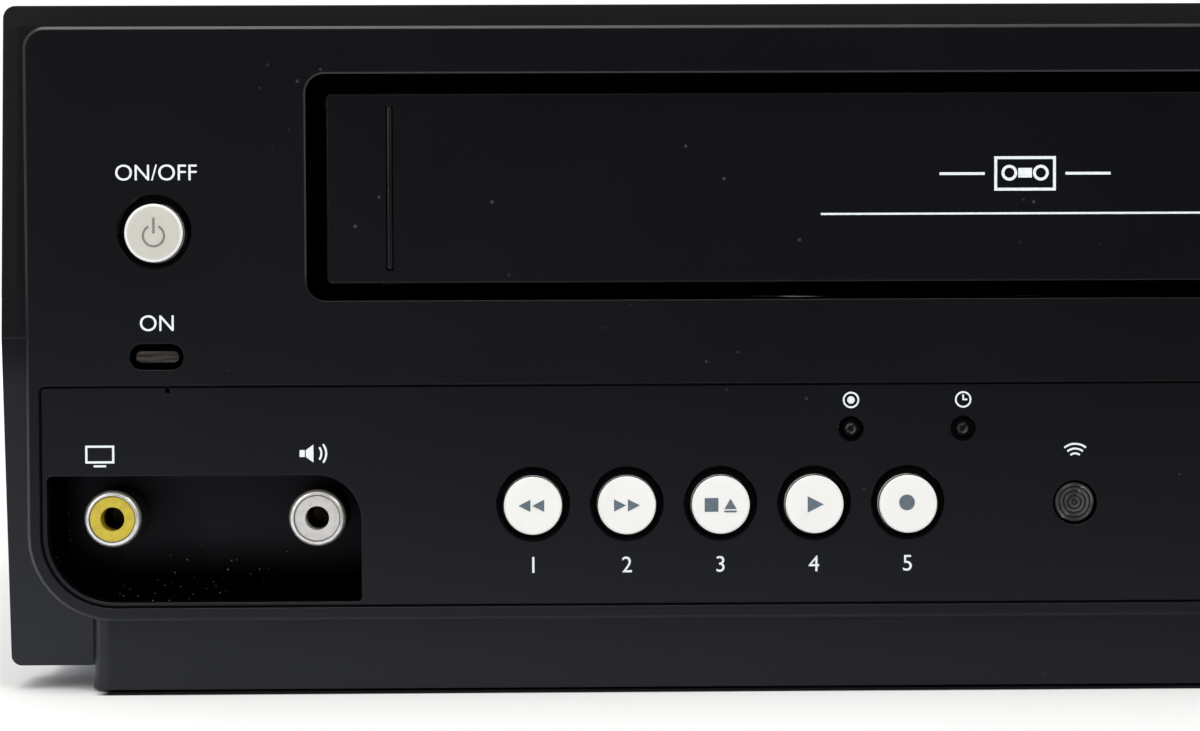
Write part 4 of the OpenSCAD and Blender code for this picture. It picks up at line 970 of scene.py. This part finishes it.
def label_door():
    """A cassette sign between two rules, and a thin rule under it."""
    shapes = frame_lines(9.0, 5.0, 0.42) + hoop(1.15, 0.42, -2.3, 0.1) + hoop(1.15, 0.42, 2.3, 0.1)
    shapes += [bar(-1.0, -0.6, 1.0, 0.8), bar(-12.5, -0.2, -5.9, 0.2), bar(5.9, -0.2, 12.5, 0.2),
               bar(-29.8, -5.95, 29.8, -5.65)]
    print_sign("cassette_sign", centre("cassette_door").x, DOOR_SIGN_Z, shapes, DOOR_Y,
               body="cassette_door")


def label_tray():
    """A disc sign on the tray's front."""
    middle = centre("tray_bezel")
    shapes = hoop(3.6, 0.4) + hoop(1.1, 0.35)
    shapes += [ring_band(0, 0, 2.6, 0.3, turn, turn + 50) for turn in (20, 200)]
    print_sign("disc_badge", middle.x, middle.z, shapes, TRAY_Y, body="tray")


# ---------------------------------------------------------------- rings, lens and contacts

def bead(mesh, x, z, front, inner, outer, proud, deep, lift=0.0):
    """A low rounded ring with a wall down its bore; lift moves its outer edge up."""
    rows = []
    for k in range(RING_STEPS):
        t = math.tau * k / RING_STEPS
        reach = lift * math.sin(t) + math.sqrt(outer ** 2 - (lift * math.cos(t)) ** 2)
        section = [(inner, front + deep)]
        for i in range(ARCH_STEPS + 1):
            height = proud * (1 - (2 * i / ARCH_STEPS - 1) ** 2)
            section.append((inner + (reach - inner) * i / ARCH_STEPS, front - height))
        rows.append([mesh.verts.new((x + radius * math.cos(t), y, z + radius * math.sin(t)))
                     for radius, y in section])
    skin(mesh, rows + rows[:1])


def sunk_profile(mouth, points):
    """Profile from (radius, depth behind the mouth) in millimetres."""
    return [(radius * MM, mouth + depth * MM) for radius, depth in points]


def button_rings():
    """Polished black ring round each button, wider above than below."""
    mesh = bmesh.new()
    for node in [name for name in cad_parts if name.startswith("btn_")]:
        middle = centre(node)
        front = (FACE_Y if node == "btn_power" else TRIM_Y) + 0.02 * MM
        bead(mesh, middle.x, middle.z, front, inner=4.50 * MM, outer=5.42 * MM,
             proud=0.14 * MM, deep=1.2 * MM, lift=0.22 * MM)
    smooth(piece("button_rings", mesh, LACQUER, "case"), 60)


def door_ribs():
    """Slender half-round rib near each end of the flap, on a black sheet of painted shade."""
    reach = FLAP_HALF_H - 2.0 * MM
    # Heights along a rib, and the share of its full section that stands there
    taper = ((-reach, 0.2), (-reach + 0.15 * MM, 0.8), (-reach + 0.35 * MM, 1.0),
             (reach - 0.35 * MM, 1.0), (reach - 0.15 * MM, 0.8), (reach, 0.2))
    half_turn = [math.pi * i / ARCH_STEPS for i in range(ARCH_STEPS + 1)]
    bed, rib = bmesh.new(), bmesh.new()
    for side in (-1, 1):
        x = FLAP_X + side * (FLAP_HALF_W - 9.24 * MM)
        # Painted shade: a black sheet under and beside each rib
        flat(bed, bar(x - 0.52 * MM, FLAP_Z - reach - 0.15 * MM, x + 0.52 * MM, FLAP_Z + reach),
             DOOR_Y + TINY / 2)
        rows = []
        for z, share in taper:
            rows.append([rib.verts.new((x - 0.36 * MM * share * math.cos(t),
                                        DOOR_Y - 0.20 * MM * share * math.sin(t),
                                        FLAP_Z + z)) for t in half_turn])
        skin(rib, rows)
        rib.faces.new(rows[0][::-1])
        rib.faces.new(rows[-1])
    piece("door_rib_shade", bed, LACQUER, "cassette_door")
    smooth(piece("door_ribs", rib, CHARCOAL, "cassette_door"), 50)


def trim_seam():
    """Bottom of the narrow seam round the control trim, a sheet whose grey is painted shade."""
    mesh = bmesh.new()
    middle_z = (TRIM_LOW.z + TRIM_HIGH.z) / 2
    # For each corner its side along X and Z, its radius in millimetres and its first angle
    corners = ((1, 1, 0.7, 0), (-1, 1, 0.7, 90), (-1, -1, 10.5, 180), (1, -1, 10.5, 270))
    loops = []
    for grow in (-0.2 * MM, 0.4 * MM):
        half_w = TRIM_HIGH.x + grow
        half_h = (TRIM_HIGH.z - TRIM_LOW.z) / 2 + grow
        points = []
        for side_x, side_z, corner, start in corners:
            radius = corner * MM + grow
            points += arc(side_x * (half_w - radius), middle_z + side_z * (half_h - radius),
                          radius, start, start + 90, 16)
        loop = [mesh.verts.new((x, TRIM_Y + 0.3 * MM, z)) for x, z in points]
        loops.append(loop + loop[:1])
    skin(mesh, loops[::-1])
    bmesh.ops.solidify(mesh, geom=mesh.faces[:], thickness=-0.1 * MM)
    piece("trim_seam", mesh, SEAM_SHADE_SHEET, "case")


def light_rings():
    """Black collar round each light."""
    mesh = bmesh.new()
    for x in LIGHT_PLACES:
        bead(mesh, x, LIGHT_ROW_Z, TRIM_Y + 0.02 * MM, inner=0.98 * MM, outer=1.92 * MM,
             proud=0.12 * MM, deep=0.5 * MM)
    smooth(piece("light_rings", mesh, LACQUER, "case"), 60)


def remote_window():
    """Clear grey lens with rings like a target."""
    mesh = bmesh.new()
    front = TRIM_Y - 0.05 * MM
    steps, lens_radius, ripple, dish = 60, 2.82 * MM, 0.10 * MM, 0.03
    profile = []
    for i in range(steps + 1):
        radius = lens_radius * i / steps
        wave = 0.5 + 0.5 * math.cos(radius / EYE_RING * math.tau)
        profile.append((radius, front + ripple * wave + radius * dish))
    profile += sunk_profile(front, [(2.95, 0.5), (3.0, 6), (0.0, 6)])
    turn_profile(mesh, profile, EYE_X, EYE_Z, 48)
    lens = smooth(piece("remote_window", mesh, NODE_FINISH["ir_lens"], "case"), 50)
    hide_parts("ir_lens")


def jack_rims():
    """Rolled bright lip round the mouth of each front jack."""
    mesh = bmesh.new()
    roll = [math.pi / 2 * i / 10 for i in range(11)]
    lip = [(3.24, 0.4), (3.30, 0.06)]
    lip += [(3.44 + 0.60 * math.sin(t), 0.55 - 0.57 * math.cos(t)) for t in roll]
    lip += [(4.16, 0.85)]
    for x, z in FRONT_JACKS:
        turn_profile(mesh, sunk_profile(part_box("jack_barrels")[0].y, lip), x, z, 64)
    smooth(piece("jack_rims", mesh, SATIN, "case"), 50)


def jack_contacts():
    """Spring sleeve deep in the bore of each jack."""
    mesh = bmesh.new()
    front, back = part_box("yellow_inserts")
    sleeve = [(1.73, 3.6), (1.35, 4.0), (1.25, 9), (0.0, 9.2)]
    for x, z in FRONT_JACKS:
        turn_profile(mesh, sunk_profile(front.y, sleeve), x, z, 32)
    sleeve = [(1.73, -3.0), (1.35, -3.4), (1.25, -7), (0.0, -7.2)]
    for x, z in REAR_JACKS:
        turn_profile(mesh, sunk_profile(back.y, sleeve), x, z, 32)
    smooth(piece("jack_contacts", mesh, CONTACT, "case"), 50)


# ---------------------------------------------------------------- scene

def make_floor():
    """Pale floor that looks white to the camera and keeps the shadow."""
    finish = Finish("floor_paper", (0.80, 0.80, 0.80), 0.9, Specular_IOR_Level=0.0)
    seen = finish.add("ShaderNodeLightPath")
    mirrored = finish.add("ShaderNodeLightPath", output="Is Glossy Ray")
    x, y, _ = finish.axes()
    # Painted reflection: in reflections it darkens away from the face, and more so towards the
    # right
    away = (FACE_Y - y).at_least(0.0)
    share = (1.0 - 0.38 * x.step(-0.26, -0.02)) * 0.16 / (0.16 + away)
    dimmed = finish.blend(share, (0, 0, 0), (0.96, 1.0, 1.16))
    # Painted light and shadow: to the camera it brightens outwards and is black under the object
    far = distance(x, y)
    shade = finish.blend(far.step(0.35, 1.3), (0.68, 0.68, 0.67), (1.0, 1.0, 1.0))
    beyond = (y.fall(FACE_Y - 1.0 * MM, FACE_Y - 0.1 * MM)
              + abs(x).step(203.5 * MM, 206 * MM) + y.step(-100 * MM, -90 * MM))
    under = 1 - beyond.bounded()
    shade = finish.blend(under, shade, (0.01, 0.01, 0.012))
    lit = finish.blend(seen, (0.80, 0.80, 0.80), shade)
    finish.to("Base Color", finish.blend(mirrored, lit, dimmed))
    finish.to("Emission Color", finish.blend(under, (1, 1, 1), (0, 0, 0)))
    finish.to("Emission Strength", seen * (0.04 + 0.6 * far.step(0.45, 2.5)))
    mesh = bmesh.new()
    bmesh.ops.create_grid(mesh, x_segments=1, y_segments=1, size=6)
    floor = stand("floor", mesh, finish.material)
    floor.location.z = -0.05 * MM


def make_world():
    """White to the camera; in reflections dark in front of the object and bright elsewhere."""
    world = bpy.data.worlds.new("studio")
    world.use_nodes = True
    world.node_tree.nodes.clear()
    nodes = Nodes(world.node_tree)
    _, y, z = nodes.split(nodes.add("ShaderNodeTexCoord", output="Generated"))
    # Brighter upwards and towards the back
    mirrored = (z.step(0.05, 0.55) * 0.5 + y.step(-0.8, 0.3) * 0.8).bounded()
    glossy = nodes.add("ShaderNodeLightPath", output="Is Glossy Ray")
    seen = nodes.add("ShaderNodeLightPath")
    light = nodes.add("ShaderNodeMix", {"Factor": glossy, "A": WORLD_LIGHT, "B": mirrored})
    light = nodes.add("ShaderNodeMix", {"Factor": seen, "A": light, "B": WORLD_SEEN})
    background = nodes.add("ShaderNodeBackground",
                           {"Color": (0.8, 0.8, 0.8, 1), "Strength": light})
    output = world.node_tree.nodes.new("ShaderNodeOutputWorld")
    nodes.feed(output.inputs["Surface"], background)
    bpy.context.scene.world = world


make_camera()
for lamp in LAMPS:
    soft_box(*lamp)
make_world()
make_floor()
dress_nodes()
mark_caps()
label_row()
label_switch()
label_jacks()
label_lights()
label_door()
label_tray()
button_rings()
door_ribs()
trim_seam()
light_rings()
remote_window()
jack_rims()
jack_contacts()

bpy.context.scene.view_settings.view_transform = "Standard"
